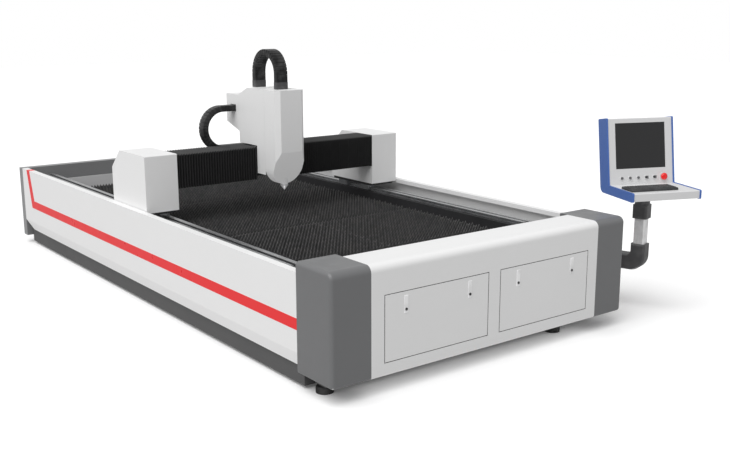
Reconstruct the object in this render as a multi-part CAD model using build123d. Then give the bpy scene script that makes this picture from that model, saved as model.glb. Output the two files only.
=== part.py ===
from build123d import *
import math
import os

# Flat-bed sheet cutting machine, millimetres, +Z up.
# Design frame: X = 0 on the centreline, Y = 0 on the front face, Z = 0 on the floor.
# The finished part is moved so that its origin is the middle of its footprint.

# General values
overrun = 5.0            # how far a cutting body passes a face
face_gap = 0.3           # between faces of pieces that move past each other
run_gap = 0.05           # radial clearance of a shaft in its hole
sheet = 3.0              # folded sheet metal
cover_wall = 12.0         # corner and rear covers, with their stiffeners

# Machine outline
machine_width = 2300.0
side_height = 670.0      # top of the side panels
housing_bottom = 102.0   # underside of the front housing above the floor

# Front housing
housing_height = 627.0
housing_depth = 254.0
housing_top_radius = 42.0
housing_bottom_radius = 18.0
corner_width = 258.0
corner_depth = 319.0
corner_edge_radius = 22.0

# Front doors
door_width = 760.0
door_height = 381.0
door_sill = 75.0         # opening's lower edge above the housing's underside
door_spacing = 90.0      # between the two openings
door_gap = 4.0
door_fold = 20.0
door_pivot_inset = 8.0
door_pivot_radius = 3.0
door_pivot_length = 10.0
door_flange = 24.0

# Door latches
latch_spacing = 464.0
latch_width = 28.0
latch_height = 98.0
latch_thickness = 3.0
latch_drop = 72.0        # latch middle below the door's top edge
latch_button_radius = 8.0
latch_button_drop = 28.0
latch_button_proud = 2.5
latch_collar_radius = 12.0
latch_collar = 3.0

# Side panels
panel_bend_height = 220.0
panel_bottom = 138.0
panel_tuck = 28.0        # how far the lower strip slants in
panel_top_width = 50.0
panel_top_lip = 30.0
panel_foot_width = 62.0
panel_cut_length = 121.0
panel_cut_height = 82.0

# Rear cover
rear_start = 4704.0
rear_depth = 95.0
rear_bottom = 70.0
rear_edge_radius = 14.0

# Base frame
beam_inner = 860.0       # half the clear width between the side beams
beam_width = 140.0
beam_wall = 10.0
rail_seat = 585.0
skid_inset = 45.0
skid_step = 45.0         # skid's inner face outside the beam's
skid_bottom = 22.0
skid_start = 319.0
skid_wall = 8.0
skid_rear_gap = 28.0
cross_width = 80.0
cross_height = 110.0
cross_count = 5
front_cross_y = 160.0
front_cross_width = 100.0
front_cross_height = 50.0
front_cross_length = 2150.0
ledge_width = 45.0
ledge_height = 25.0
ledge_top = 425.0
rear_wall_y = 4560.0
rear_wall_top = 567.0
rear_wall_thickness = 6.0
pan_top = 190.0
pan_wall = 4.0

# Levelling feet
foot_radius = 50.0
foot_height = 38.0       # pads under the front housing
low_foot_height = 14.0   # pads under the skids
foot_top_radius = 44.0
foot_taper = 6.0
stud_radius = 10.0
foot_nut_width = 30.0
foot_nut_height = 10.0
foot_side_x = 1015.0
foot_corner_x = 1033.0
foot_corner_y = 232.0
foot_inner_x = 715.0
foot_inner_y = 191.0
foot_front_y = 420.0
foot_middle_y = 2331.0
foot_rear_y = 4114.0

# Bed rails and racks
rail_inset = 55.0        # rail middle outside the beam's inner face
rail_width = 34.0
rail_height = 26.0
rail_groove = 7.0
rail_foot_shares = (0.34, 0.66)
rail_start = 645.0
rail_end = 4640.0
rack_offset = 40.0       # rail middle to the rack's inner face
rack_width = 28.0
rack_height = 24.0

# Slat bed
bed_start = 610.0
bed_sections = (1210.0, 1210.0, 1210.0)
slat_top = 545.0
slat_pitch = 70.0
slat_thickness = 5.0
slat_end_room = 15.0     # slat end to the side beam
slat_teeth = 10
tooth_depth = 18.0
tray_side = 10.0
tray_ledge = 36.0
tray_ledge_height = 8.0
tray_height = 95.0
tray_gap = 2.0
comb_thickness = 10.0
comb_notch_gap = 0.5

# Gantry
gantry_y = 2271.0        # front of the end covers
cover_lap = 8.0          # end cover's inner face inside the side beam's
cover_outer = 1095.0
cover_depth = 560.0
cover_bottom = 655.0
cover_top = 1050.0
cover_slope_run = 144.0
cover_slope_drop = 135.0
cover_edge_radius = 6.0
cover_window_low = 797.0
cover_window_depth = 236.0
end_plate_thickness = 24.0
end_plate_step = 8.0     # these three outside the side beam's inner face
end_plate_outer = 1090.0
end_plate_front = 40.0   # behind the cover's front
beam_front = 79.0        # behind the cover's front
gantry_beam_depth = 130.0
gantry_beam_bottom = 815.0
gantry_beam_height = 195.0
gantry_beam_step = 100.0
gantry_beam_wall = 10.0
bracket_step = 12.0
bracket_width = 93.0
bracket_depth = 330.0
bellows_end = 6.0        # end plate that the bellows is fixed to
cover_tab_length = 60.0
cover_tab_height = 70.0
cover_tab_width = 20.0
block_length = 110.0
block_width = 70.0
block_lift = 5.0         # block's underside above the rail seat
block_height = 42.0
block_first_y = 2421.0
block_second_y = 2715.0

# Gantry drives
pinion_radius = 30.0
pinion_height = 22.0
pinion_shaft_radius = 9.0
drive_y = 2715.0
gearbox_width = 70.0
gearbox_height = 80.0
motor_width = 80.0
motor_height = 150.0
motor_corner = 12.0
shaft_seat = 30.0

# Beam rails and rack
beam_rail_width = 23.0
beam_rail_height = 20.0
beam_rail_low = 865.0
beam_rail_high = 985.0
beam_rack_bottom = 990.0
beam_rack_height = 25.0
beam_rack_depth = 20.0
beam_pinion_radius = 24.0
beam_pinion_height = 26.0

# Bellows
bellows_front = 4.0      # behind the cover's front
bellows_bottom = 802.0
bellows_top = 1045.0
bellows_depth = 225.0
bellows_pleats = 26
bellows_pleat_depth = 20.0
bellows_cloth = 3.0

# Carriage
head_x = -88.5           # middle of the head at rest
head_width = 243.0
carriage_front = 2155.0
carriage_bottom = 852.0
carriage_top = 1466.0
carriage_back_top = 2391.0
carriage_slope_room = 8.0    # behind the neck
carriage_box_top = 1408.0
carriage_box_depth = 184.0   # behind the neck
carriage_box_bottom = 1199.0
carriage_neck_room = 36.0    # behind the beam
carriage_neck_top = 1138.0
carriage_over_beam = 1054.0
carriage_plate_thickness = 24.0
carriage_plate_low = 858.0
carriage_plate_high = 1300.0
carriage_arm_bottom = 1058.0
carriage_arm_rear = 2600.0
carriage_tongue = 90.0   # narrow rear part of the arm
beam_block_length = 62.0
beam_block_width = 52.0
beam_block_height = 28.0
beam_block_spacing = 140.0

# Head lift
lift_rail_width = 20.0
lift_rail_height = 16.0
lift_rail_spacing = 150.0
slide_low = 985.0
slide_high = 1240.0
slide_thickness = 22.0
slide_width = 200.0
slide_block_height = 22.0
screw_radius = 10.0
screw_bottom = 940.0
screw_top = 1300.0
nut_width = 44.0
nut_height = 60.0
lift_motor_width = 60.0
lift_motor_height = 110.0

# Head cover, barrel and nozzle
head_front = 1985.0
head_cover_gap = 1.0
head_cover_wall = 3.0
head_chamfer = 33.0
head_slant_top = 1025.0
head_slant_bottom = 783.0
head_slant_run = 105.0
head_round_center = 905.0
barrel_y = 2098.0
barrel_radius = 42.0
barrel_top = 1290.0
barrel_bottom = 812.0
barrel_neck_radius = 27.0
barrel_neck = 60.0
barrel_arm_low = 1020.0
barrel_arm_high = 1200.0
barrel_arm_width = 90.0
nozzle_radius = 17.0
nozzle_tip_radius = 5.0
nozzle_tip = 740.0
nozzle_bore = 1.5
nozzle_flat_share = 0.45

# Drag chains
chain_thickness = 44.0
chain_width = 70.0
chain_plate = 5.0
chain_pitch = 50.0
chain_bar = 4.0
chain_bar_length = 20.0
chain_nose_share = 0.4
beam_chain_y = 2600.0
beam_chain_z = 1157.0    # middle of its bend
beam_chain_radius = 148.0
beam_chain_x = -317.0
beam_chain_links = 25
beam_chain_lift = 3.0     # chain above its tray
chain_room = 5.0         # round the chain where it passes a wall
chain_anchor_length = 60.0
tray_sheet = 4.0
tray_left = -845.0
tray_right = 210.0
tray_lip = 30.0
head_chain_front_y = 2117.0
head_chain_radius = 150.0
head_chain_links = 13
head_chain_width = 88.0

# Console column and elbow
column_x = 1530.0
column_y = 160.0
column_width = 76.0
column_radius = 12.0
elbow_width = 100.0
elbow_top = 468.0
elbow_radius = 14.0      # long edges of elbow and sleeve
elbow_bend_radius = 100.0
elbow_inner_radius = 30.0
arm_width = 106.0
arm_middle = 335.0
support_turn = -73.2     # degrees about Z, arm and column
hub_reach = 70.0
hub_radius = 58.0
hub_lip = 8.0
hub_web = 84.0
flange_width = 170.0
flange_thickness = 14.0
sleeve_bottom = 643.0
sleeve_top = 737.0
collar_radius = 50.0
collar_top_radius = 57.0
collar_flange = 10.0
spigot_radius = 30.0
spigot_height = 45.0

# Console
console_turn = -21.8     # degrees about Z
console_bottom = 812.0
console_shelf = 873.0
console_lean = 9.3       # degrees, the face leans back
console_height = 446.0   # face above the shelf
console_width = 500.0
console_depth = 109.0    # through the leaning part
console_face = 23.0
console_reach = 293.0
console_side = 12.0
console_inset = 4.0
console_round = 45.0
console_corner = 10.0
screen_width = 372.0
screen_height = 306.0
screen_top_drop = 36.0
screen_depth = 6.0
keyboard_width = 339.0
keyboard_depth = 140.0
keyboard_height = 16.0
keyboard_shift = -52.0
keyboard_front = -235.0
keyboard_edge = 4.0
control_height = 42.0    # control row above the shelf
control_spacing = 61.0
control_first = -148.0
stop_place = 164.0
cap_radius = 8.5
cap_height = 9.0
cap_travel = 3.0
stem_radius = 6.0
stem_length = 20.0
ring_wall = 3.0
ring_height = 6.0
key_radius = 10.0
key_depth = 14.0
key_bow_width = 20.0
key_bow_length = 24.0
key_bow_thickness = 3.0
stop_radius = 23.0
stop_head = 16.0
stop_neck_radius = 11.0
stop_travel = 5.0
stop_base_radius = 26.0
stop_base_height = 5.0
stop_crown_share = 0.7   # of the head's radius
stop_heel_share = 0.8
stop_rim_shares = (0.6, 0.2)  # of the head's height
push_button_count = 3
key_switch_count = 2

# Values worked out from the ones above
half_width = machine_width / 2
housing_top = housing_bottom + housing_height
rail_top = rail_seat + rail_height
rail_x = beam_inner + rail_inset
skid_outer = half_width - skid_inset
skid_inner = beam_inner + skid_step
slat_half_length = beam_inner - slat_end_room
cover_inner = beam_inner - cover_lap
end_plate_inner = beam_inner + end_plate_step
bracket_inner = beam_inner + bracket_step
bracket_outer = bracket_inner + bracket_width
gantry_beam_half = beam_inner + gantry_beam_step
skid_top = panel_bottom
skid_end = rear_start - skid_rear_gap
cover_rear = gantry_y + cover_depth
beam_y = gantry_y + beam_front
beam_back = beam_y + gantry_beam_depth
beam_top = gantry_beam_bottom + gantry_beam_height
carriage_neck = beam_back + carriage_neck_room
carriage_box_rear = carriage_neck + carriage_box_depth
carriage_slope_end = carriage_neck + carriage_slope_room
block_top = rail_seat + block_lift + block_height
end_plate_top = block_top + end_plate_thickness
rack_face = rail_x + rack_offset + rack_width
pinion_x = rack_face + face_gap + pinion_radius
head_left = head_x - head_width / 2
head_right = head_x + head_width / 2
beam_rail_face = beam_y - beam_rail_height
plate_back = beam_rail_face - beam_block_height + beam_rail_height / 2
plate_front = plate_back - carriage_plate_thickness
beam_pinion_y = beam_back + beam_rack_depth + face_gap + beam_pinion_radius
carriage_arm_top = carriage_arm_bottom + carriage_plate_thickness
lift_rail_face = plate_front - lift_rail_height
slide_back = lift_rail_face - slide_block_height + lift_rail_height / 2
slide_front = slide_back - slide_thickness
screw_y = slide_back + (plate_front - slide_back) / 2
head_back = carriage_front - head_cover_gap
slat_bottom = ledge_top + tray_ledge_height
chain_nose = chain_pitch / 2 + chain_nose_share * chain_thickness
hub_x = half_width + hub_reach
hub_run = (column_x - hub_x) / math.cos(math.radians(support_turn))
hub_y = column_y - (column_x - hub_x) * math.tan(math.radians(support_turn))


# Shapes from corner places
def block(x0, x1, y0, y1, z0, z1):
    place = Pos((x0 + x1) / 2, (y0 + y1) / 2, (z0 + z1) / 2)
    return place * Box(x1 - x0, y1 - y0, z1 - z0)


# Round bar along Z, Y or X, from one end to the other
def post(x, y, z0, z1, radius):
    return Pos(x, y, (z0 + z1) / 2) * Cylinder(radius, z1 - z0)


def bar_y(x, z, y0, y1, radius):
    return Pos(x, (y0 + y1) / 2, z) * Rot(90, 0, 0) * Cylinder(radius, y1 - y0)


def bar_x(y, z, x0, x1, radius):
    return Pos((x0 + x1) / 2, y, z) * Rot(0, 90, 0) * Cylinder(radius, x1 - x0)


# Flat outline in a plane, with some corners rounded
def outline(points, rounds=None):
    face = make_face(Polyline(*points, close=True))
    for place, radius in (rounds or {}).items():
        corner = face.vertices().sort_by_distance(Vector(*points[place]))[0]
        face = fillet(corner, radius)
    return face


# Outline of (y, z) points drawn along X
def along_x(points, x0, x1, rounds=None):
    face = outline(points, rounds)
    plane = Plane((x0, 0, 0), x_dir=(0, 1, 0), z_dir=(1, 0, 0))
    return extrude(plane * face, x1 - x0)


# Outline of (x, z) points drawn along Y
def along_y(points, y0, y1, rounds=None):
    face = outline(points, rounds)
    plane = Plane((0, y1, 0), x_dir=(1, 0, 0), z_dir=(0, -1, 0))
    return extrude(plane * face, y1 - y0)


# Rounded square bar along Z
def square_post(x, y, z0, z1, width, radius):
    return extrude(Pos(x, y, z0) * RectangleRounded(width, width, radius), z1 - z0)


# Hollow rectangular tube along Y
def tube_y(x0, x1, y0, y1, z0, z1, wall):
    inside = block(x0 + wall, x1 - wall, y0 - overrun, y1 + overrun, z0 + wall, z1 - wall)
    return block(x0, x1, y0, y1, z0, z1) - inside


# Hollow rectangular tube along X
def tube_x(x0, x1, y0, y1, z0, z1, wall):
    inside = block(x0 - overrun, x1 + overrun, y0 + wall, y1 - wall, z0 + wall, z1 - wall)
    return block(x0, x1, y0, y1, z0, z1) - inside


# Closed box along one axis: a block with a hollow that stops short of its ends
def closed_box(x0, x1, y0, y1, z0, z1, wall):
    inside = block(x0 + wall, x1 - wall, y0 + wall, y1 - wall, z0 + wall, z1 - wall)
    return block(x0, x1, y0, y1, z0, z1) - inside


# The same piece on the other side of the centreline
def other_side(shape):
    return mirror(shape, Plane.YZ)


def both_sides(shape):
    return [shape, other_side(shape)]


# Base frame: side beams on skids, cross tubes, and a ledge that carries the slat trays
def make_base_frame():
    beam = tube_y(beam_inner, beam_inner + beam_width, skid_start, rear_start,
                  skid_top, rail_seat, beam_wall)
    skid = closed_box(skid_inner, skid_outer, skid_start, skid_end, skid_bottom, skid_top,
                      skid_wall)
    bed_length = sum(bed_sections)
    ledge = block(beam_inner - ledge_width, beam_inner, bed_start, bed_start + bed_length,
                  ledge_top - ledge_height, ledge_top)
    frame = Part()
    for piece in (beam, skid, ledge):
        frame += piece
        frame += other_side(piece)
    cross_run = rear_wall_y - skid_start
    for number in range(cross_count):
        start = skid_start + number * cross_run / (cross_count - 1)
        frame += tube_x(-skid_inner, skid_inner, start, start + cross_width,
                        skid_bottom, skid_bottom + cross_height, skid_wall)
    half_front = front_cross_length / 2
    front_end = front_cross_y + front_cross_width
    front_low = housing_bottom - front_cross_height
    frame += closed_box(-half_front, half_front, front_cross_y, front_end, front_low,
                        housing_bottom, skid_wall)
    link = tube_y(skid_inner, skid_inner + cross_width, front_end, skid_start, front_low,
                  housing_bottom, skid_wall)
    frame += link
    frame += other_side(link)
    return frame


# Levelling foot: turned pad, stud and jam nut
def make_foot(x, y, top, height):
    profile = [(0, 0), (foot_radius, 0), (foot_radius, height - foot_taper),
               (foot_top_radius, height), (0, height)]
    pad = revolve(Plane.XZ * outline(profile), Axis.Z)
    nut_bottom = top - foot_nut_height
    nut = extrude(Pos(0, 0, nut_bottom) * RegularPolygon(foot_nut_width / 2, 6), foot_nut_height)
    foot = pad + post(0, 0, height, top, stud_radius)
    if nut_bottom > height:
        foot += nut
    return Pos(x, y, 0) * foot


def make_feet():
    front_top = housing_bottom - front_cross_height
    feet = [make_foot(-foot_corner_x, foot_corner_y, front_top, foot_height),
            make_foot(foot_inner_x, foot_inner_y, front_top, foot_height)]
    for y in (foot_front_y, foot_middle_y, foot_rear_y):
        feet += both_sides(make_foot(foot_side_x, y, skid_bottom, low_foot_height))
    return feet


# Shallow pan under the slats, on the cross tubes
def make_slag_pan():
    floor = skid_bottom + cross_height
    half = beam_inner - face_gap
    pan = block(-half, half, skid_start, rear_wall_y, floor, pan_top)
    inside = block(-half + pan_wall, half - pan_wall, skid_start + pan_wall,
                   rear_wall_y - pan_wall, floor + pan_wall, pan_top + overrun)
    return pan - inside


# Side panel: one folded sheet, with its lower rear corner cut off
def make_side_panel():
    outer = half_width
    inner = half_width - panel_top_width
    tuck = half_width - panel_tuck
    points = [(inner, side_height - panel_top_lip), (inner, side_height), (outer, side_height),
              (outer, panel_bend_height), (tuck, panel_bottom),
              (tuck - panel_foot_width, panel_bottom),
              (tuck - panel_foot_width, panel_bottom + sheet),
              (tuck - sheet, panel_bottom + sheet), (outer - sheet, panel_bend_height + sheet),
              (outer - sheet, side_height - sheet), (inner + sheet, side_height - sheet),
              (inner + sheet, side_height - panel_top_lip)]
    panel = along_y(points, corner_depth, rear_start)
    cut = [(rear_start - panel_cut_length, panel_bottom - overrun),
           (rear_start + overrun, panel_bottom - overrun),
           (rear_start + overrun, panel_bottom + panel_cut_height)]
    return panel - along_x(cut, tuck - panel_foot_width - overrun, outer + overrun)


# Outline of the front housing, seen from the side
def housing_points(depth, inset=0.0):
    low = housing_bottom + inset
    high = housing_top - inset
    return [(inset, low), (depth - inset, low), (depth - inset, high), (inset, high)]


# White front cover: a shell with two flanged door openings and pivot pins
def make_front_cover():
    half = half_width - corner_width
    rounds = {0: housing_bottom_radius, 3: housing_top_radius}
    inner_rounds = {0: housing_bottom_radius - sheet, 3: housing_top_radius - sheet}
    cover = along_x(housing_points(housing_depth), -half, half, rounds)
    cover -= along_x(housing_points(housing_depth, sheet), sheet - half, half - sheet, inner_rounds)
    sill = housing_bottom + door_sill
    for side in (-1, 1):
        middle = side * (door_spacing + door_width) / 2
        left = middle - door_width / 2
        right = middle + door_width / 2
        cover += block(left - sheet, right + sheet, 0, door_flange,
                       sill - sheet, sill + door_height + sheet)
        cover -= block(left, right, -overrun, door_flange + overrun, sill, sill + door_height)
        pin_z = sill + door_gap + door_pivot_inset
        for end, inward in ((left, 1), (right, -1)):
            start = end - inward * sheet
            stop = end + inward * door_pivot_length
            cover += bar_x(door_pivot_inset, pin_z, min(start, stop), max(start, stop),
                           door_pivot_radius)
    return cover


# Grey corner cover, rounded at its outer edges
def make_corner_cover():
    inner = half_width - corner_width
    rounds = {0: housing_bottom_radius, 3: housing_top_radius}
    inner_rounds = {0: housing_bottom_radius - cover_wall, 3: housing_top_radius - cover_wall}
    cover = along_x(housing_points(corner_depth), inner, half_width, rounds)
    outer_face = cover.faces().sort_by(Axis.X)[-1]
    edges = outer_face.edges().sort_by(Axis.Y)[:-1]
    low_edge = edges.sort_by(Axis.Z)[0]
    cover = fillet([edge for edge in edges if edge is not low_edge], corner_edge_radius)
    hollow = along_x(housing_points(corner_depth + 2 * cover_wall, cover_wall), inner + cover_wall,
                     half_width - cover_wall, inner_rounds)
    return cover - hollow


# Door pan with folded edges, bored for its pivots and latch buttons
def make_door(side):
    middle = side * (door_spacing + door_width) / 2
    left = middle - door_width / 2 + door_gap
    right = middle + door_width / 2 - door_gap
    low = housing_bottom + door_sill + door_gap
    high = housing_bottom + door_sill + door_height - door_gap
    door = block(left, right, 0, door_fold, low, high)
    door -= block(left + sheet, right - sheet, sheet, door_fold + overrun, low + sheet, high - sheet)
    door -= bar_x(door_pivot_inset, low + door_pivot_inset, left - overrun, right + overrun,
                  door_pivot_radius + run_gap)
    for x in latch_places(side):
        door -= bar_y(x, latch_button_z(), -overrun, door_fold + overrun,
                      latch_button_radius + run_gap)
    return door


def latch_places(side):
    middle = side * (door_spacing + door_width) / 2
    return [middle - latch_spacing / 2, middle + latch_spacing / 2]


def latch_middle():
    return housing_bottom + door_sill + door_height - door_gap - latch_drop


def latch_button_z():
    return latch_middle() - latch_button_drop


# Flush latch plate with a round hole for its button
def make_latch_plate(x):
    half = latch_width / 2
    tall = latch_height / 2
    middle = latch_middle()
    plate = block(x - half, x + half, -latch_thickness, 0, middle - tall, middle + tall)
    plate = chamfer(plate.faces().sort_by(Axis.Y)[0].edges(), latch_thickness / 2)
    return plate - bar_y(x, latch_button_z(), -latch_thickness - overrun, overrun,
                         latch_button_radius + run_gap)


# Latch button with the collar that keeps it in the door
def make_latch_button(x):
    z = latch_button_z()
    front = -latch_thickness - latch_button_proud
    back = sheet + face_gap
    stem = bar_y(x, z, front, back + latch_collar, latch_button_radius)
    return stem + bar_y(x, z, back, back + latch_collar, latch_collar_radius)


# Grey rear cover across the whole width, open below
def make_rear_cover():
    cover = block(-half_width, half_width, rear_start, rear_start + rear_depth,
                  rear_bottom, side_height)
    rear_face = cover.faces().sort_by(Axis.Y)[-1]
    cover = fillet(rear_face.edges(), rear_edge_radius)
    return cover - block(cover_wall - half_width, half_width - cover_wall, rear_start + cover_wall,
                         rear_start + rear_depth - cover_wall, rear_bottom - overrun,
                         side_height - cover_wall)


# Profile rail with a waist, along Y
def rail_points(x, z, width, height, groove):
    low, high = rail_foot_shares
    half = width / 2
    waist = half - groove
    return [(x - half, z), (x + half, z), (x + half, z + low * height / 2),
            (x + waist, z + low * height), (x + waist, z + high * height),
            (x + half, z + high * height + low * height / 2), (x + half, z + height),
            (x - half, z + height), (x - half, z + high * height + low * height / 2),
            (x - waist, z + high * height), (x - waist, z + low * height),
            (x - half, z + low * height / 2)]


def make_bed_rail():
    return along_y(rail_points(rail_x, rail_seat, rail_width, rail_height, rail_groove),
                   rail_start, rail_end)


def make_bed_rack():
    inner = rail_x + rack_offset
    return block(inner, rack_face, rail_start, rail_end, rail_seat, rail_seat + rack_height)


# Places along Y of the slats of one tray
def slat_places(start, length):
    room = length - 2 * (tray_gap + tray_side) - slat_pitch / 2
    count = int(room // slat_pitch) + 1
    first = start + length / 2 - (count - 1) * slat_pitch / 2
    return [first + number * slat_pitch for number in range(count)]


def section_starts():
    starts = []
    place = bed_start
    for length in bed_sections:
        starts.append((place, length))
        place += length
    return starts


# Slat: a plate on edge with a saw-tooth top
def make_slat(y):
    pitch = 2 * slat_half_length / slat_teeth
    points = [(-slat_half_length, slat_bottom)]
    for number in range(slat_teeth):
        left = -slat_half_length + number * pitch
        points.append((left, slat_top - tooth_depth))
        points.append((left + pitch / 2, slat_top))
    points.append((slat_half_length, slat_top - tooth_depth))
    points.append((slat_half_length, slat_bottom))
    return along_y(points, y - slat_thickness / 2, y + slat_thickness / 2)


# Tray: side bars with a ledge, end bars, and a notched comb bar in the middle
def make_tray(start, length):
    outer = slat_half_length + tray_side
    low = ledge_top
    first = start + tray_gap
    last = start + length - tray_gap
    tray = Part()
    side = [(slat_half_length + face_gap, low), (outer, low), (outer, low + tray_height),
            (slat_half_length + face_gap, low + tray_height)]
    ledge = [(outer - tray_ledge, low), (outer, low), (outer, slat_bottom),
             (outer - tray_ledge, slat_bottom)]
    for points in (side, ledge):
        bar = along_y(points, first, last)
        tray += bar
        tray += other_side(bar)
    for place in (first, last - tray_side):
        tray += block(-outer, outer, place, place + tray_side, low, low + tray_height)
    comb = block(-comb_thickness / 2, comb_thickness / 2, first, last, low, low + tray_height)
    half_notch = slat_thickness / 2 + comb_notch_gap
    for y in slat_places(start, length):
        comb -= block(-comb_thickness, comb_thickness, y - half_notch, y + half_notch,
                      slat_bottom, low + tray_height + overrun)
    return tray + comb


# Gantry beam: box beam on two end brackets with bed plates, bored for the drive shafts
def make_gantry_beam():
    beam = tube_x(-gantry_beam_half, gantry_beam_half, beam_y, beam_back,
                  gantry_beam_bottom, beam_top, gantry_beam_wall)
    front = gantry_y + end_plate_front
    plate = block(end_plate_inner, end_plate_outer, front, cover_rear - sheet - overrun,
                  block_top, end_plate_top)
    plate -= post(pinion_x, drive_y, block_top - overrun, end_plate_top + overrun,
                  pinion_shaft_radius + face_gap)
    bracket = tube_y(bracket_inner, bracket_outer, front, front + bracket_depth,
                     end_plate_top, gantry_beam_bottom, gantry_beam_wall)
    end = block(gantry_beam_half, gantry_beam_half + bellows_end, gantry_y + bellows_front,
                beam_back, gantry_beam_bottom, bellows_top)
    tab_outer = cover_outer - sheet
    tab = block(tab_outer - cover_tab_width, tab_outer, front, front + cover_tab_length,
                end_plate_top, end_plate_top + cover_tab_height)
    for piece in (plate, bracket, end, tab):
        beam += piece
        beam += other_side(piece)
    return beam


# White end cover: bent shell, open below, with a window for the beam and the bellows
def make_gantry_cover():
    points = [(gantry_y, cover_bottom), (cover_rear, cover_bottom),
              (cover_rear, cover_top - cover_slope_drop),
              (cover_rear - cover_slope_run, cover_top), (gantry_y, cover_top)]
    rounds = {3: cover_edge_radius, 4: cover_edge_radius}
    cover = along_x(points, cover_inner, cover_outer, rounds)
    inner = offset(outline(points, rounds), -sheet, kind=Kind.INTERSECTION)
    plane = Plane((cover_inner + sheet, 0, 0), x_dir=(0, 1, 0), z_dir=(1, 0, 0))
    cover -= extrude(plane * inner, cover_outer - cover_inner - 2 * sheet)
    cover -= block(cover_inner + sheet, cover_outer - sheet, gantry_y + sheet, cover_rear - sheet,
                   cover_bottom - overrun, cover_bottom + 2 * sheet)
    window_rear = gantry_y + sheet + cover_window_depth
    return cover - block(cover_inner - overrun, cover_inner + 2 * sheet, gantry_y + sheet,
                         window_rear, cover_window_low, cover_top - sheet)


# Rail block: rides over the rail with a channel under it
def make_bed_block(y):
    low = rail_seat + block_lift
    body = block(rail_x - block_width / 2, rail_x + block_width / 2, y - block_length / 2,
                 y + block_length / 2, low, block_top)
    channel = block(rail_x - rail_width / 2 - face_gap, rail_x + rail_width / 2 + face_gap,
                    y - block_length, y + block_length, low - overrun, rail_top + face_gap)
    return body - channel


# Motor on its gearbox, standing on a plate, with a bore for the drive shaft
def make_motor(x, y, low, gearbox, box_height, width, height):
    body = square_post(x, y, low, low + box_height, gearbox, motor_corner)
    body += square_post(x, y, low + box_height, low + box_height + height, width, motor_corner)
    return body - post(x, y, low - overrun, low + shaft_seat, pinion_shaft_radius + run_gap)


# Pinion on its shaft, which ends in the gearbox
def make_pinion(x, y, low, height, radius, shaft_top):
    return post(x, y, low, low + height, radius) + post(x, y, low, shaft_top, pinion_shaft_radius)


def make_bed_pinion():
    low = rail_seat + face_gap
    return make_pinion(pinion_x, drive_y, low, pinion_height, pinion_radius,
                       end_plate_top + shaft_seat - face_gap)


def make_beam_pinion():
    return make_pinion(head_x, beam_pinion_y, beam_rack_bottom, beam_pinion_height,
                       beam_pinion_radius, carriage_arm_top + shaft_seat - face_gap)


# Rails on the beam's front face
def make_beam_rail(z):
    half = beam_rail_width / 2
    return block(-gantry_beam_half, gantry_beam_half, beam_rail_face, beam_y, z - half, z + half)


def make_beam_rack():
    return block(-cover_inner, cover_inner, beam_back, beam_back + beam_rack_depth,
                 beam_rack_bottom, beam_rack_bottom + beam_rack_height)


# Bellows section at one place along X: front wall and roof, folded in by a set depth
def bellows_section(x, fold):
    front = gantry_y + bellows_front + fold
    rear = gantry_y + bellows_front + bellows_depth
    top = bellows_top - fold
    points = [(front, bellows_bottom), (front, top), (rear, top), (rear, top - bellows_cloth),
              (front + bellows_cloth, top - bellows_cloth), (front + bellows_cloth, bellows_bottom)]
    plane = Plane((x, 0, 0), x_dir=(0, 1, 0), z_dir=(1, 0, 0))
    return plane * outline(points)


# Pleated bellows between a gantry end and the carriage
def make_bellows(x0, x1):
    sections = []
    for number in range(2 * bellows_pleats + 1):
        fold = bellows_pleat_depth if number % 2 else 0.0
        x = x0 + (x1 - x0) * number / (2 * bellows_pleats)
        sections.append(bellows_section(x, fold))
    return loft(sections, ruled=True)


# Carriage: front plate and an arm over the beam, bored for the drive shaft
def make_carriage_plate():
    left = head_left + sheet + face_gap
    right = head_right - sheet - face_gap
    plate = block(left, right, plate_front, plate_back, carriage_plate_low, carriage_plate_high)
    plate += block(left, right, plate_front, beam_back, carriage_arm_bottom, carriage_arm_top)
    half_tongue = carriage_tongue / 2
    plate += block(head_x - half_tongue, head_x + half_tongue, beam_back, carriage_arm_rear,
                   carriage_arm_bottom, carriage_arm_top)
    plate += block(head_left, head_right, plate_front, plate_back, carriage_plate_low, bellows_top)
    plate += block(head_x - lift_motor_width / 2, head_x + lift_motor_width / 2,
                   screw_y - lift_motor_width / 2, plate_front, screw_top,
                   screw_top + carriage_plate_thickness)
    plate += block(head_x - lift_motor_width / 2, head_x + lift_motor_width / 2,
                   plate_front, plate_back, carriage_plate_high, screw_top + carriage_plate_thickness)
    plate -= post(head_x, screw_y, screw_top - overrun,
                  screw_top + carriage_plate_thickness + overrun, screw_radius + run_gap)
    return plate - post(head_x, beam_pinion_y, carriage_arm_bottom - overrun,
                        carriage_arm_top + overrun, pinion_shaft_radius + face_gap)


def make_lift_rail(side):
    x = head_x + side * lift_rail_spacing / 2
    half = lift_rail_width / 2
    return block(x - half, x + half, lift_rail_face, plate_front, carriage_plate_low,
                 carriage_plate_high)


# Block on a beam rail, bolted to the carriage plate
def make_beam_block(x, z):
    low = z - beam_block_width / 2
    high = z + beam_block_width / 2
    body = block(x - beam_block_length / 2, x + beam_block_length / 2, plate_back,
                 plate_back + beam_block_height, low, high)
    half = beam_rail_width / 2 + face_gap
    return body - block(x - beam_block_length, x + beam_block_length, beam_rail_face - face_gap,
                        beam_y + overrun, z - half, z + half)


def make_beam_blocks():
    blocks = []
    for side in (-1, 1):
        for z in (beam_rail_low, beam_rail_high):
            blocks.append(make_beam_block(head_x + side * beam_block_spacing / 2, z))
    return blocks


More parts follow.
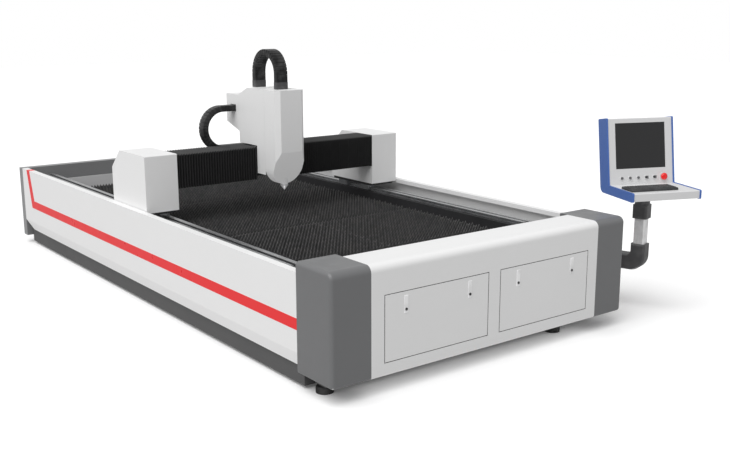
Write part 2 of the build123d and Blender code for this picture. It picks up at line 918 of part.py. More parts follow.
# Carriage cover: bent shell over the beam, open to the front and below
def make_carriage_cover():
    rear_of_front = gantry_y - overrun
    points = [(carriage_front, carriage_bottom), (rear_of_front, carriage_bottom),
              (rear_of_front, carriage_over_beam), (carriage_neck, carriage_over_beam),
              (carriage_neck, carriage_neck_top), (carriage_box_rear, carriage_box_bottom),
              (carriage_box_rear, carriage_box_top), (carriage_slope_end, carriage_box_top),
              (carriage_back_top, carriage_top), (carriage_front, carriage_top)]
    cover = along_x(points, head_left, head_right)
    face = outline(points)
    inner = offset(face, -sheet, kind=Kind.INTERSECTION)
    plane = Plane((head_left + sheet, 0, 0), x_dir=(0, 1, 0), z_dir=(1, 0, 0))
    cover -= extrude(plane * inner, head_width - 2 * sheet)
    left = head_left + sheet
    right = head_right - sheet
    cover -= block(left, right, carriage_front - overrun, carriage_front + overrun,
                   carriage_bottom - overrun, carriage_top - sheet)
    cover -= block(left, right, carriage_front - overrun, carriage_neck - sheet,
                   carriage_bottom - overrun, carriage_over_beam + overrun)
    chain_y = head_chain_front_y + 2 * head_chain_radius
    half_chain = head_chain_width / 2
    cover += block(head_x - half_chain, head_x + half_chain, chain_y - chain_thickness / 2,
                   chain_y + chain_thickness / 2, carriage_box_top, carriage_top)
    drive_top = carriage_arm_top + gearbox_height + overrun
    half_tongue = carriage_tongue / 2 + overrun
    cover -= block(head_x - half_tongue, head_x + half_tongue, carriage_neck - 2 * sheet,
                   carriage_arm_rear + overrun, carriage_over_beam - overrun, drive_top)
    return cover - beam_chain_passage()


# Room for the beam chain through the side of the carriage cover
def beam_chain_passage():
    half_width_of_chain = chain_width / 2 + chain_room
    half_height = chain_thickness / 2 + chain_room
    middle = beam_chain_z + beam_chain_radius
    return block(head_left - overrun, head_left + sheet + overrun,
                 beam_chain_y - half_width_of_chain, beam_chain_y + half_width_of_chain,
                 middle - half_height, middle + half_height)


# Slide of the lift: plate, blocks on the lift rails, nut and an arm to the barrel
def make_lift_slide():
    half = slide_width / 2
    slide = block(head_x - half, head_x + half, slide_front, slide_back, slide_low, slide_high)
    for side in (-1, 1):
        x = head_x + side * lift_rail_spacing / 2
        reach = lift_rail_width
        shoe = block(x - reach, x + reach, slide_back, slide_back + slide_block_height,
                     slide_low, slide_high)
        half_rail = lift_rail_width / 2 + face_gap
        slide += shoe - block(x - half_rail, x + half_rail, lift_rail_face - face_gap,
                              plate_front, slide_low - overrun, slide_high + overrun)
    middle = (slide_low + slide_high) / 2
    half_nut = nut_width / 2
    nut = block(head_x - half_nut, head_x + half_nut, slide_back, plate_front - face_gap,
                middle - nut_height / 2, middle + nut_height / 2)
    slide += nut
    arm_half = barrel_arm_width / 2
    slide += block(head_x - arm_half, head_x + arm_half, barrel_y, slide_front,
                   barrel_arm_low, barrel_arm_high)
    slide -= post(head_x, screw_y, slide_low - overrun, slide_high + overrun,
                  screw_radius + run_gap)
    return slide - post(head_x, barrel_y, barrel_arm_low - overrun, barrel_arm_high + overrun,
                        barrel_radius)


# Lift screw
def make_lift_screw():
    return post(head_x, screw_y, screw_bottom, screw_top + carriage_plate_thickness - face_gap,
                screw_radius)


def make_lift_motor():
    low = screw_top + carriage_plate_thickness
    return square_post(head_x, screw_y, low, low + lift_motor_height, lift_motor_width,
                       motor_corner)


# Seen from the front, the head cover is a plate with a half-round lower end
def head_front_face(inset):
    half = head_width / 2 - inset
    top = carriage_top - inset
    with BuildSketch() as drawing:
        with BuildLine():
            Polyline((head_x - half, head_round_center), (head_x - half, top),
                     (head_x + half, top), (head_x + half, head_round_center))
            ThreePointArc((head_x - half, head_round_center), (head_x, head_round_center - half),
                          (head_x + half, head_round_center))
        make_face()
    return drawing.sketch


# One solid of the head cover's form; the inset one is its hollow
def head_form(inset, back):
    front = head_front + inset
    plane = Plane((0, back, 0), x_dir=(1, 0, 0), z_dir=(0, -1, 0))
    form = extrude(plane * head_front_face(inset), back - front)
    rise = head_slant_top - head_slant_bottom
    slope = head_slant_run / rise
    low = head_slant_bottom - head_width
    slant = [(front - overrun, head_slant_top + overrun / slope),
             (front + (head_slant_top - low) * slope, low), (front - overrun, low)]
    form -= along_x(slant, head_left - overrun, head_right + overrun)
    for side in (-1, 1):
        edge = head_x + side * (head_width / 2 - inset)
        corner = [(edge + side * overrun, front - overrun),
                  (edge + side * overrun, front + head_chamfer + overrun),
                  (edge - side * (head_chamfer + overrun), front - overrun)]
        form -= extrude(Plane.XY.offset(low) * outline(corner), carriage_top + overrun - low)
    return form


# Head cover: hollow form open to the rear, with a hole for the barrel
def make_head_cover():
    cover = head_form(0, head_back) - head_form(head_cover_wall, head_back + overrun)
    return cover - post(head_x, barrel_y, nozzle_tip, barrel_bottom + 2 * barrel_neck,
                        barrel_neck_radius + face_gap)


# Cutting head barrel: turned body that narrows to the nozzle seat
def make_barrel():
    profile = [(0, barrel_bottom - barrel_neck + nozzle_radius),
               (barrel_neck_radius, barrel_bottom - barrel_neck + nozzle_radius),
               (barrel_neck_radius, barrel_bottom + barrel_neck),
               (barrel_radius, barrel_bottom + 2 * barrel_neck), (barrel_radius, barrel_top),
               (0, barrel_top)]
    return Pos(head_x, barrel_y, 0) * revolve(Plane.XZ * outline(profile), Axis.Z)


# Nozzle: turned cone with a through bore
def make_nozzle():
    seat = barrel_bottom - barrel_neck + nozzle_radius
    knee = nozzle_tip + (seat - nozzle_tip) * nozzle_flat_share
    profile = [(nozzle_bore, nozzle_tip), (nozzle_tip_radius, nozzle_tip), (nozzle_radius, knee),
               (nozzle_radius, seat), (nozzle_bore, seat)]
    return Pos(head_x, barrel_y, 0) * revolve(Plane.XZ * outline(profile), Axis.Z)


# Drag chain link about its own middle: run along X, thickness along Z, width along Y
def make_link(width, outer):
    half = chain_pitch / 2
    nose = chain_nose
    tall = chain_thickness / 2
    hexagon = [(-nose, 0), (-half, -tall), (half, -tall), (nose, 0), (half, tall), (-half, tall)]
    side = width / 2 if outer else width / 2 - chain_plate - face_gap
    link = along_y(hexagon, side - chain_plate, side) + along_y(hexagon, -side, chain_plate - side)
    reach = chain_bar_length / 2
    for low in (-tall, tall - chain_bar):
        link += block(-reach, reach, -side, side, low, low + chain_bar)
    return link


# Length of a chain's path from end to end
def chain_length(count):
    return 2 * chain_nose + (count - 1) * chain_pitch


# Places along a path of a run, a half turn and a second run: (along, up, angle)
def chain_places(first_run, radius, count):
    turn = math.pi * radius
    places = []
    for number in range(count):
        distance = chain_nose + number * chain_pitch
        if distance < first_run:
            places.append((first_run - distance, radius, 0.0))
        elif distance < first_run + turn:
            angle = (distance - first_run) / radius
            places.append((-radius * math.sin(angle), radius * math.cos(angle),
                           -math.degrees(angle)))
        else:
            places.append((distance - first_run - turn, -radius, 0.0))
    return places


# Upper run of the beam chain, from its bend to the far wall of the carriage cover
def beam_chain_run():
    return head_right - sheet - face_gap - beam_chain_x


# Chain beside the beam, from the carriage round a half turn to its tray
def make_beam_chain():
    places = chain_places(beam_chain_run(), beam_chain_radius, beam_chain_links)
    links = []
    for number, (x, z, angle) in enumerate(places):
        place = Pos(beam_chain_x + x, beam_chain_y, beam_chain_z + z) * Rot(0, angle, 0)
        links.append(place * make_link(chain_width, number % 2 == 0))
    return links


# Chain on top of the head, from the carriage cover over a half turn to the head cover
def make_head_chain():
    leg = (chain_length(head_chain_links) - math.pi * head_chain_radius) / 2
    middle_y = head_chain_front_y + head_chain_radius
    middle_z = carriage_top + face_gap + leg
    links = []
    places = chain_places(leg, head_chain_radius, head_chain_links)
    for number, (along, up, angle) in enumerate(places):
        place = Pos(head_x, middle_y + up, middle_z - along) * Rot(0, 0, 90) * Rot(0, 90 + angle, 0)
        links.append(place * make_link(head_chain_width, number % 2 == 0))
    return links


# Tray for the beam chain: bent sheet on the beam's rear face, with an anchor for the last link
def make_chain_tray():
    chain_low = beam_chain_z - beam_chain_radius - chain_thickness / 2
    floor = chain_low - beam_chain_lift
    far = beam_chain_y + chain_width / 2 + tray_sheet
    points = [(beam_back, floor), (far, floor), (far, floor + tray_lip),
              (far + tray_sheet, floor + tray_lip), (far + tray_sheet, floor - tray_sheet),
              (beam_back + tray_sheet, floor - tray_sheet),
              (beam_back + tray_sheet, floor - tray_lip), (beam_back, floor - tray_lip)]
    turn = math.pi * beam_chain_radius
    end = beam_chain_x + chain_length(beam_chain_links) - beam_chain_run() - turn
    anchor = block(end - chain_anchor_length, end, beam_chain_y - chain_width / 2,
                   beam_chain_y + chain_width / 2, floor, chain_low)
    return along_x(points, tray_left, tray_right) + anchor


# The arm and the column are drawn straight, then turned about the column
def on_support(shape):
    return Pos(column_x, column_y, 0) * Rot(0, 0, support_turn) * shape


# Elbow: cast arm from a hub on the machine's side, bent up to the column
def make_elbow():
    low = arm_middle - arm_width / 2
    high = arm_middle + arm_width / 2
    half = elbow_width / 2
    points = [(-hub_run, low), (half, low), (half, elbow_top), (-half, elbow_top), (-half, high),
              (-hub_run, high)]
    rounds = {1: elbow_bend_radius, 4: elbow_inner_radius}
    elbow = along_y(points, -half, half, rounds)
    sides = elbow.faces().sort_by(Axis.Y)
    elbow = on_support(fillet(sides[0].edges() + sides[-1].edges(), elbow_radius))
    elbow += post(hub_x, hub_y, low - hub_lip, high + hub_lip, hub_radius)
    elbow += block(half_width, hub_x, hub_y - hub_web / 2, hub_y + hub_web / 2, low, high)
    plane = Plane((half_width, hub_y, arm_middle), x_dir=(0, 1, 0), z_dir=(1, 0, 0))
    elbow += extrude(plane * RectangleRounded(flange_width, flange_width, elbow_radius),
                     flange_thickness)
    return elbow


# Sleeve on the column's upper end, with the spigot that the console turns on
def make_sleeve():
    sleeve = square_post(0, 0, sleeve_bottom, sleeve_top, elbow_width, elbow_radius)
    return on_support(sleeve + post(0, 0, sleeve_top, sleeve_top + spigot_height, spigot_radius))


# Column: rounded square tube between the elbow and the sleeve
def make_column():
    return on_support(square_post(0, 0, elbow_top, sleeve_bottom, column_width, column_radius))


# Everything on the console is drawn straight, then turned and put on its column
def on_console(shape):
    return Pos(column_x, column_y, 0) * Rot(0, 0, console_turn) * shape


# Pieces on the console's face are drawn upright, then leaned back about the face's lower edge
def on_face(shape):
    lean = Pos(0, console_face, console_shelf) * Rot(-console_lean, 0, 0)
    return on_console(lean * Pos(0, -console_face, -console_shelf) * shape)


# Outline of the console, seen from its side
def console_points(inset):
    lean = math.radians(console_lean)
    along = math.sin(lean)
    rise = math.cos(lean)
    low = console_bottom + inset
    shelf = console_shelf - inset
    height = console_height - inset
    points = []
    for depth in (console_depth - inset, inset):
        points.append((console_face + height * along + depth * rise,
                       console_shelf + height * rise - depth * along))
    rear_top, face_top = points
    rear = rear_top[0] - (rear_top[1] - low) * along / rise
    face = face_top[0] - (face_top[1] - shelf) * along / rise
    reach = inset - console_reach
    return [(rear, low), rear_top, face_top, (face, shelf), (reach, shelf), (reach, low)]


def console_rounds(inset):
    corner = console_corner - inset
    return {0: console_round - inset, 1: corner, 2: corner, 4: corner, 5: corner}


def make_console_side(side):
    outer = console_width / 2
    inner = outer - console_side
    low, high = (inner, outer) if side > 0 else (-outer, -inner)
    return on_console(along_x(console_points(0), low, high, console_rounds(0)))


def control_z():
    return console_shelf + control_height


def console_front():
    return console_face + console_inset


def screen_top():
    return console_shelf + console_height - screen_top_drop


def control_places():
    return [control_first + number * control_spacing for number in
            range(push_button_count + key_switch_count)]


# Console shell with its collar, screen pocket, control rings and bores
def make_console_shell():
    half = console_width / 2 - console_side
    shell = on_console(along_x(console_points(console_inset), -half, half,
                               console_rounds(console_inset)))
    front = console_front()
    top = screen_top()
    shell -= on_face(block(-screen_width / 2, screen_width / 2, front - overrun,
                           front + screen_depth, top - screen_height, top))
    z = control_z()
    for number, x in enumerate(control_places()):
        pushed = number < push_button_count
        radius = cap_radius if pushed else key_radius
        shell += on_face(bar_y(x, z, front - ring_height, front, radius + ring_wall))
        gap = face_gap if pushed else run_gap
        shell -= on_face(bar_y(x, z, front - ring_height - overrun, front, radius + gap))
        bore = stem_radius if pushed else key_radius
        depth = stem_length + cap_travel + face_gap if pushed else key_depth + face_gap
        shell -= on_face(bar_y(x, z, front - overrun, front + depth, bore + run_gap))
    shell += on_face(bar_y(stop_place, z, front - stop_base_height, front, stop_base_radius))
    shell -= on_face(bar_y(stop_place, z, front - stop_base_height - overrun,
                           front + stem_length + stop_travel + face_gap,
                           stop_neck_radius + run_gap))
    low = console_bottom + console_inset
    start = sleeve_top + face_gap
    roof = start + spigot_height
    profile = [(spigot_radius + run_gap, start), (collar_radius, start),
               (collar_radius, low - 2 * collar_flange), (collar_top_radius, low - collar_flange),
               (collar_top_radius, low), (0, low), (0, roof), (spigot_radius + run_gap, roof)]
    return shell + on_console(revolve(Plane.XZ * outline(profile), Axis.Z))


def make_screen():
    front = console_front()
    top = screen_top()
    half = screen_width / 2 - face_gap
    panel = block(-half, half, front + screen_depth / 2, front + screen_depth,
                  top - screen_height + face_gap, top - face_gap)
    return on_face(panel)


# Keyboard: wedge with rounded corners, lying on the shelf
def make_keyboard():
    shelf = console_shelf - console_inset
    middle = keyboard_front + keyboard_depth / 2
    board = block(keyboard_shift - keyboard_width / 2, keyboard_shift + keyboard_width / 2,
                  middle - keyboard_depth / 2, middle + keyboard_depth / 2,
                  shelf, shelf + keyboard_height)
    board = fillet(board.edges().filter_by(Axis.Z), keyboard_edge * 2)
    return on_console(chamfer(board.faces().sort_by(Axis.Z)[-1].edges(), keyboard_edge))


# Push button: cap and stem
def make_push_button(x):
    z = control_z()
    front = console_front()
    cap_back = front - cap_travel - face_gap
    button = bar_y(x, z, cap_back - cap_height, cap_back, cap_radius)
    return on_face(button + bar_y(x, z, cap_back, front + stem_length - face_gap, stem_radius))


# Key switch: barrel with a key in it
def make_key_switch(x):
    z = control_z()
    front = console_front()
    face = front - ring_height
    barrel = bar_y(x, z, face, front + key_depth, key_radius)
    half = key_bow_width / 2
    thin = key_bow_thickness / 2
    bow = [(face, z - half / 2), (face, z + half / 2), (face - key_bow_length / 2, z + half / 2),
           (face - key_bow_length / 2, z + half), (face - key_bow_length, z + half),
           (face - key_bow_length, z - half), (face - key_bow_length / 2, z - half),
           (face - key_bow_length / 2, z - half / 2)]
    return on_face(barrel + along_x(bow, x - thin, x + thin))


# Emergency stop: turned mushroom head on a stem
def make_emergency_stop():
    front = console_front() - stop_base_height
    back = front - stop_travel - face_gap
    high, low = stop_rim_shares
    profile = [(0, -stop_head), (stop_radius * stop_crown_share, -stop_head),
               (stop_radius, -stop_head * high), (stop_radius, -stop_head * low),
               (stop_radius * stop_heel_share, 0), (stop_neck_radius, 0),
               (stop_neck_radius, stem_length), (0, stem_length)]
    head = revolve(outline(profile), Axis.Y)
    return on_face(Pos(stop_place, back, control_z()) * head)


# All nodes by name, each a list of solids
def make_nodes():
    bellows_left = (-gantry_beam_half, head_left - face_gap)
    bellows_right = (head_right + face_gap, gantry_beam_half)
    wall = block(-beam_inner, beam_inner, rear_wall_y, rear_wall_y + rear_wall_thickness,
                 skid_bottom + cross_height, rear_wall_top)
    slats = []
    trays = []
    for start, length in section_starts():
        trays.append(make_tray(start, length))
        slats += [make_slat(y) for y in slat_places(start, length)]
    nodes = {
        "base_frame": [make_base_frame()],
        "levelling_feet": make_feet(),
        "slag_pan": [make_slag_pan()],
        "side_panel_left": [other_side(make_side_panel())],
        "side_panel_right": [make_side_panel()],
        "front_cover": [make_front_cover()],
        "corner_cover_left": [other_side(make_corner_cover())],
        "corner_cover_right": [make_corner_cover()],
        "rear_cover": [make_rear_cover()],
        "bed_rear_wall": [wall],
        "bed_rails": both_sides(make_bed_rail()),
        "bed_racks": both_sides(make_bed_rack()),
        "slat_trays": trays,
        "slats": slats,
        "console_elbow": [make_elbow(), make_sleeve()],
        "console_column": [make_column()],
        "gantry_beam": [make_gantry_beam()],
        "gantry_cover_left": [other_side(make_gantry_cover())],
        "gantry_cover_right": [make_gantry_cover()],
        "bed_blocks": both_sides(make_bed_block(block_first_y)) + both_sides(
            make_bed_block(block_second_y)),
        "gantry_motors": both_sides(make_motor(pinion_x, drive_y, end_plate_top, gearbox_width,
                                               gearbox_height, motor_width, motor_height)),
        "bed_pinion_left": [other_side(make_bed_pinion())],
        "bed_pinion_right": [make_bed_pinion()],
        "beam_rails": [make_beam_rail(beam_rail_low), make_beam_rail(beam_rail_high)],
        "beam_rack": [make_beam_rack()],
        "bellows_left": [make_bellows(*bellows_left)],
        "bellows_right": [make_bellows(*bellows_right)],
        "beam_chain": make_beam_chain(),
        "chain_tray": [make_chain_tray()],
        "carriage_plate": [make_carriage_plate()],
        "lift_rails": [make_lift_rail(-1), make_lift_rail(1)],
        "beam_blocks": make_beam_blocks(),
        "carriage_cover": [make_carriage_cover()],
        "carriage_motor": [make_motor(head_x, beam_pinion_y, carriage_arm_top, gearbox_width,
                                      gearbox_height, motor_width, motor_height)],
        "beam_pinion": [make_beam_pinion()],
        "lift_motor": [make_lift_motor()],
        "lift_screw": [make_lift_screw()],
        "lift_slide": [make_lift_slide()],
        "head_cover": [make_head_cover()],
        "cutting_barrel": [make_barrel()],
        "nozzle": [make_nozzle()],
        "head_chain": make_head_chain(),
        "console_shell": [make_console_shell()],
        "console_sides": [make_console_side(-1), make_console_side(1)],
        "screen": [make_screen()],
        "keyboard": [make_keyboard()],
        "emergency_stop": [make_emergency_stop()],
    }
    for side, name in ((-1, "left"), (1, "right")):
        nodes["door_" + name] = [make_door(side)]
        nodes["latch_plates_" + name] = [make_latch_plate(x) for x in latch_places(side)]
        for number, x in enumerate(latch_places(side), start=1):
            nodes["latch_button_%s_%d" % (name, number)] = [make_latch_button(x)]
    for number, x in enumerate(control_places()[:push_button_count], start=1):
        nodes["push_button_%d" % number] = [make_push_button(x)]
    for number, x in enumerate(control_places()[push_button_count:], start=1):
        nodes["key_switch_%d" % number] = [make_key_switch(x)]
    return nodes


# All the solids of one node
def solids_of(shapes):
    return [solid for shape in shapes for solid in shape.solids()]


def main():
    os.makedirs("parts", exist_ok=True)
    nodes = {name: solids_of(shapes) for name, shapes in make_nodes().items()}
    box = Compound([solid for solids in nodes.values() for solid in solids]).bounding_box()
    middle = Pos(-(box.min.X + box.max.X) / 2, -(box.min.Y + box.max.Y) / 2, 0)
    for name, solids in nodes.items():
        placed = [middle * solid for solid in solids]
        export_step(placed[0] if len(placed) == 1 else Compound(placed), "parts/" + name + ".step")
    print("origin moved by", middle.position)


main()
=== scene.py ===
import bpy
import math
from mathutils import Matrix, Vector


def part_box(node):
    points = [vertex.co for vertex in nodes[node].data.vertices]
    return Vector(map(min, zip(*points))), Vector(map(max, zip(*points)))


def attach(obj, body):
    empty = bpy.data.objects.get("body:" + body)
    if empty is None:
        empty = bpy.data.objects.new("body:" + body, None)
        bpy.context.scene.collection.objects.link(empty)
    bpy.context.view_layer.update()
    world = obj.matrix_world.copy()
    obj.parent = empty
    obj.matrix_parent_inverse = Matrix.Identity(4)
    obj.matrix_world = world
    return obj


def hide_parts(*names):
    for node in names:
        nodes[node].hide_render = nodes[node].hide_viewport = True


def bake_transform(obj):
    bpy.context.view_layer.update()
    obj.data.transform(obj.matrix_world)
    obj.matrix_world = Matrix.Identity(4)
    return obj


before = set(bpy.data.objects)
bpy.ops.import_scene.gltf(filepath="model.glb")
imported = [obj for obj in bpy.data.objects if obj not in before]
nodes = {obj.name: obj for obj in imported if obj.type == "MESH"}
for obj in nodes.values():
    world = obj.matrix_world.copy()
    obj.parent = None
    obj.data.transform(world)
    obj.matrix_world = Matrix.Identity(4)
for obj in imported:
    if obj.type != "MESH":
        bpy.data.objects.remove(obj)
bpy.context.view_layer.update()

scene = bpy.context.scene
scene.view_settings.view_transform = "Standard"

# Sizes below are in millimetres from the machine's own lines:
# X from the centreline, Y from the front face, Z from the floor
frontLow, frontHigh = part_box("front_cover")
originX = (frontLow.x + frontHigh.x) / 2
originY = frontLow.y


def at(x, y, z):
    return Vector((originX + x / 1000, originY + y / 1000, z / 1000))


# Shader groups
def newGroup(name, inputs, outputs):
    group = bpy.data.node_groups.new(name, "ShaderNodeTree")
    for label, kind, value in inputs:
        socket = group.interface.new_socket(label, in_out="INPUT", socket_type="NodeSocket" + kind)
        socket.default_value = value
    for label, kind in outputs:
        group.interface.new_socket(label, in_out="OUTPUT", socket_type="NodeSocket" + kind)
    return group, group.nodes.new("NodeGroupInput"), group.nodes.new("NodeGroupOutput")


def addNode(tree, kind, **settings):
    node = tree.nodes.new("ShaderNode" + kind)
    for name, value in settings.items():
        setattr(node, name, value)
    return node


# Links a socket, or sets a number or a colour on the node's own socket
def feed(tree, socket, value):
    if isinstance(value, bpy.types.NodeSocket):
        tree.links.new(value, socket)
    elif isinstance(value, tuple):
        socket.default_value = (*value, 1)
    else:
        socket.default_value = value


def addNoise(tree, vector, scale, detail=3.0):
    noise = addNode(tree, "TexNoise")
    noise.inputs["Scale"].default_value = scale
    noise.inputs["Detail"].default_value = detail
    tree.links.new(vector, noise.inputs["Vector"])
    return noise.outputs["Fac"]


def remap(tree, value, low, high, newLow, newHigh):
    node = addNode(tree, "MapRange")
    for place, number in enumerate((value, low, high, newLow, newHigh)):
        feed(tree, node.inputs[place], number)
    return node.outputs[0]


def calculate(tree, operation, first, second):
    node = addNode(tree, "Math", operation=operation)
    for place, value in enumerate((first, second)):
        feed(tree, node.inputs[place], value)
    return node.outputs[0]


def mixColours(tree, factor, first, second):
    node = addNode(tree, "Mix", data_type="RGBA")
    for place, value in ((0, factor), (6, first), (7, second)):
        feed(tree, node.inputs[place], value)
    return node.outputs[2]


def addBump(tree, height, strength, distance):
    bump = addNode(tree, "Bump")
    bump.inputs["Distance"].default_value = distance
    feed(tree, bump.inputs["Strength"], strength)
    tree.links.new(height, bump.inputs["Height"])
    return bump.outputs["Normal"]


def objectPlace(tree):
    return addNode(tree, "TexCoord").outputs["Object"]


def splitAxes(tree, vector):
    axes = addNode(tree, "SeparateXYZ")
    tree.links.new(vector, axes.inputs[0])
    return axes.outputs


finishOutputs = [("Colour", "Color"), ("Roughness", "Float"), ("Normal", "Vector")]


def closeGroup(group, output, colour, roughness, normal):
    for name, socket in (("Colour", colour), ("Roughness", roughness), ("Normal", normal)):
        group.links.new(socket, output.inputs[name])
    return group


# Powder coat: faint clouding, orange peel and uneven gloss
powderLook = {"cloudScale": 2.4, "cloud": (0.25, 0.25, 0.26), "peelScale": 520, "peelDetail": 2,
              "peelDepth": 0.0006, "glossScale": 9, "glossRange": (0.3, 0.7, -0.05, 0.06)}


def makePowderCoat(look):
    group, given, output = newGroup("powderCoat", [
        ("Colour", "Color", (1, 1, 1, 1)), ("Clouding", "Float", 0.04),
        ("Gloss", "Float", 0.35), ("Peel", "Float", 0.1)], finishOutputs)
    place = objectPlace(group)
    cloud = addNoise(group, place, look["cloudScale"])
    shade = calculate(group, "MULTIPLY", cloud, given.outputs["Clouding"])
    colour = mixColours(group, shade, given.outputs["Colour"], look["cloud"])
    peel = addNoise(group, place, look["peelScale"], look["peelDetail"])
    uneven = remap(group, addNoise(group, place, look["glossScale"]), *look["glossRange"])
    roughness = calculate(group, "ADD", given.outputs["Gloss"], uneven)
    normal = addBump(group, peel, given.outputs["Peel"], look["peelDepth"])
    return closeGroup(group, output, colour, roughness, normal)


# Ground or drawn metal: fine lines along the piece, with stains
drawnLook = {"detail": 4, "stainScale": 11, "stainRange": (0.45, 0.75, 0, 0.35),
             "stain": (0.22, 0.21, 0.2), "glossRange": (0.3, 0.7, -0.08, 0.1),
             "lineStrength": 0.12, "lineDepth": 0.0002}


def makeDrawnMetal(look):
    group, given, output = newGroup("drawnMetal", [
        ("Colour", "Color", (1, 1, 1, 1)), ("Gloss", "Float", 0.3),
        ("Lines", "Vector", (400, 4, 400))], finishOutputs)
    place = objectPlace(group)
    mapping = addNode(group, "Mapping")
    group.links.new(place, mapping.inputs["Vector"])
    group.links.new(given.outputs["Lines"], mapping.inputs["Scale"])
    lines = addNoise(group, mapping.outputs["Vector"], 1.0, look["detail"])
    stain = addNoise(group, place, look["stainScale"], look["detail"])
    dull = remap(group, stain, *look["stainRange"])
    colour = mixColours(group, dull, given.outputs["Colour"], look["stain"])
    spread = remap(group, lines, *look["glossRange"])
    roughness = calculate(group, "ADD", given.outputs["Gloss"], spread)
    normal = addBump(group, lines, look["lineStrength"], look["lineDepth"])
    return closeGroup(group, output, colour, roughness, normal)


# Moulded plastic, rubber and rough castings: a fine grain
mouldLook = {"rubScale": 14, "rubDetail": 4, "rubRange": (0.45, 0.8, 0, 0.3), "rub": (0.2, 0.2, 0.2),
             "glossRange": (0, 0.3, 0, -0.1), "grainDepth": 0.0003}


def makeMouldGrain(look):
    group, given, output = newGroup("mouldGrain", [
        ("Colour", "Color", (1, 1, 1, 1)), ("Gloss", "Float", 0.5),
        ("Grain", "Float", 900), ("Depth", "Float", 0.2)], finishOutputs)
    place = objectPlace(group)
    grain = addNode(group, "TexVoronoi")
    group.links.new(place, grain.inputs["Vector"])
    group.links.new(given.outputs["Grain"], grain.inputs["Scale"])
    worn = addNoise(group, place, look["rubScale"], look["rubDetail"])
    rub = remap(group, worn, *look["rubRange"])
    colour = mixColours(group, rub, given.outputs["Colour"], look["rub"])
    spread = remap(group, rub, *look["glossRange"])
    roughness = calculate(group, "ADD", given.outputs["Gloss"], spread)
    normal = addBump(group, grain.outputs["Distance"], given.outputs["Depth"], look["grainDepth"])
    return closeGroup(group, output, colour, roughness, normal)


# Coated cloth of the bellows: a tight weave, with painted light in patches on the faces that look up
clothLook = {"upRange": (0.3, 0.9, 0.1, 1), "patchScale": 16, "patchDetail": 5,
             "patchRange": (0.3, 0.8, 0.4, 0.8), "topLightGloss": 0.15, "weaveStrength": 0.3,
             "weaveDepth": 0.0003}


def makeCoatedCloth(look):
    group, given, output = newGroup("coatedCloth", [
        ("Colour", "Color", (0, 0, 0, 1)), ("TopLightColour", "Color", (0.1, 0.1, 0.1, 1)),
        ("Gloss", "Float", 0.45), ("Threads", "Float", 700)], finishOutputs)
    place = objectPlace(group)
    threads = []
    for direction in ("X", "Z"):
        wave = addNode(group, "TexWave", bands_direction=direction)
        group.links.new(place, wave.inputs["Vector"])
        group.links.new(given.outputs["Threads"], wave.inputs["Scale"])
        threads.append(wave.outputs["Fac"])
    weave = calculate(group, "MAXIMUM", *threads)
    facing = splitAxes(group, addNode(group, "NewGeometry").outputs["Normal"])
    upward = remap(group, facing["Z"], *look["upRange"])
    blotch = addNoise(group, place, look["patchScale"], look["patchDetail"])
    patches = remap(group, blotch, *look["patchRange"])
    # Painted light: faces that look up are made lighter in patches, with a duller gloss
    paintedTopLight = calculate(group, "MULTIPLY", upward, patches)
    colour = mixColours(group, paintedTopLight, given.outputs["Colour"], given.outputs["TopLightColour"])
    dulled = calculate(group, "MULTIPLY", paintedTopLight, look["topLightGloss"])
    roughness = calculate(group, "ADD", given.outputs["Gloss"], dulled)
    normal = addBump(group, weave, look["weaveStrength"], look["weaveDepth"])
    return closeGroup(group, output, colour, roughness, normal)


# Slat steel: dark scale with rust, worn bare towards the tips
scaleLook = {"detail": 5, "blotchScale": 38, "wornRange": (0.35, 0.65, 0.1, 0.8), "rustScale": 7,
             "rustRange": (0.5, 0.75, 0, 0.45), "rust": (0.055, 0.05, 0.046),
             "bare": (0.16, 0.157, 0.155), "glossRange": (0.3, 0.7, 0.42, 0.72),
             "bumpStrength": 0.35, "bumpDepth": 0.001}


def makeMillScale(look):
    group, given, output = newGroup("millScale", [
        ("Colour", "Color", (0, 0, 0, 1)), ("Tip", "Float", 0.545),
        ("Band", "Float", 0.03)], finishOutputs)
    place = objectPlace(group)
    height = splitAxes(group, place)["Z"]
    start = calculate(group, "SUBTRACT", given.outputs["Tip"], given.outputs["Band"])
    rise = remap(group, height, start, given.outputs["Tip"], 0, 1)
    blotch = addNoise(group, place, look["blotchScale"], look["detail"])
    worn = calculate(group, "MULTIPLY", rise, remap(group, blotch, *look["wornRange"]))
    spots = addNoise(group, place, look["rustScale"], look["detail"])
    rust = remap(group, spots, *look["rustRange"])
    scale = mixColours(group, rust, given.outputs["Colour"], look["rust"])
    colour = mixColours(group, worn, scale, look["bare"])
    roughness = remap(group, blotch, *look["glossRange"])
    normal = addBump(group, blotch, look["bumpStrength"], look["bumpDepth"])
    return closeGroup(group, output, colour, roughness, normal)


powderCoat = makePowderCoat(powderLook)
drawnMetal = makeDrawnMetal(drawnLook)
mouldGrain = makeMouldGrain(mouldLook)
coatedCloth = makeCoatedCloth(clothLook)
millScale = makeMillScale(scaleLook)


def makeMaterial(name, group, colour, metallic=0.0, specular=0.5, **values):
    material = bpy.data.materials.new(name)
    material.use_nodes = True
    material.diffuse_color = (*colour, 1)
    tree = material.node_tree
    shader = tree.nodes["Principled BSDF"]
    shader.inputs["Metallic"].default_value = metallic
    shader.inputs["Specular IOR Level"].default_value = specular
    finish = tree.nodes.new("ShaderNodeGroup")
    finish.node_tree = group
    finish.inputs["Colour"].default_value = (*colour, 1)
    for label, value in values.items():
        finish.inputs[label].default_value = value
    for label, target in (("Colour", "Base Color"), ("Roughness", "Roughness"),
                          ("Normal", "Normal")):
        tree.links.new(finish.outputs[label], shader.inputs[target])
    return material


# Two paints on one piece: the factor picks the second
def paintTwice(tree, factor, first, second):
    finish = next(node for node in tree.nodes if node.type == "GROUP")
    tree.links.new(mixColours(tree, factor, first, second), finish.inputs["Colour"])


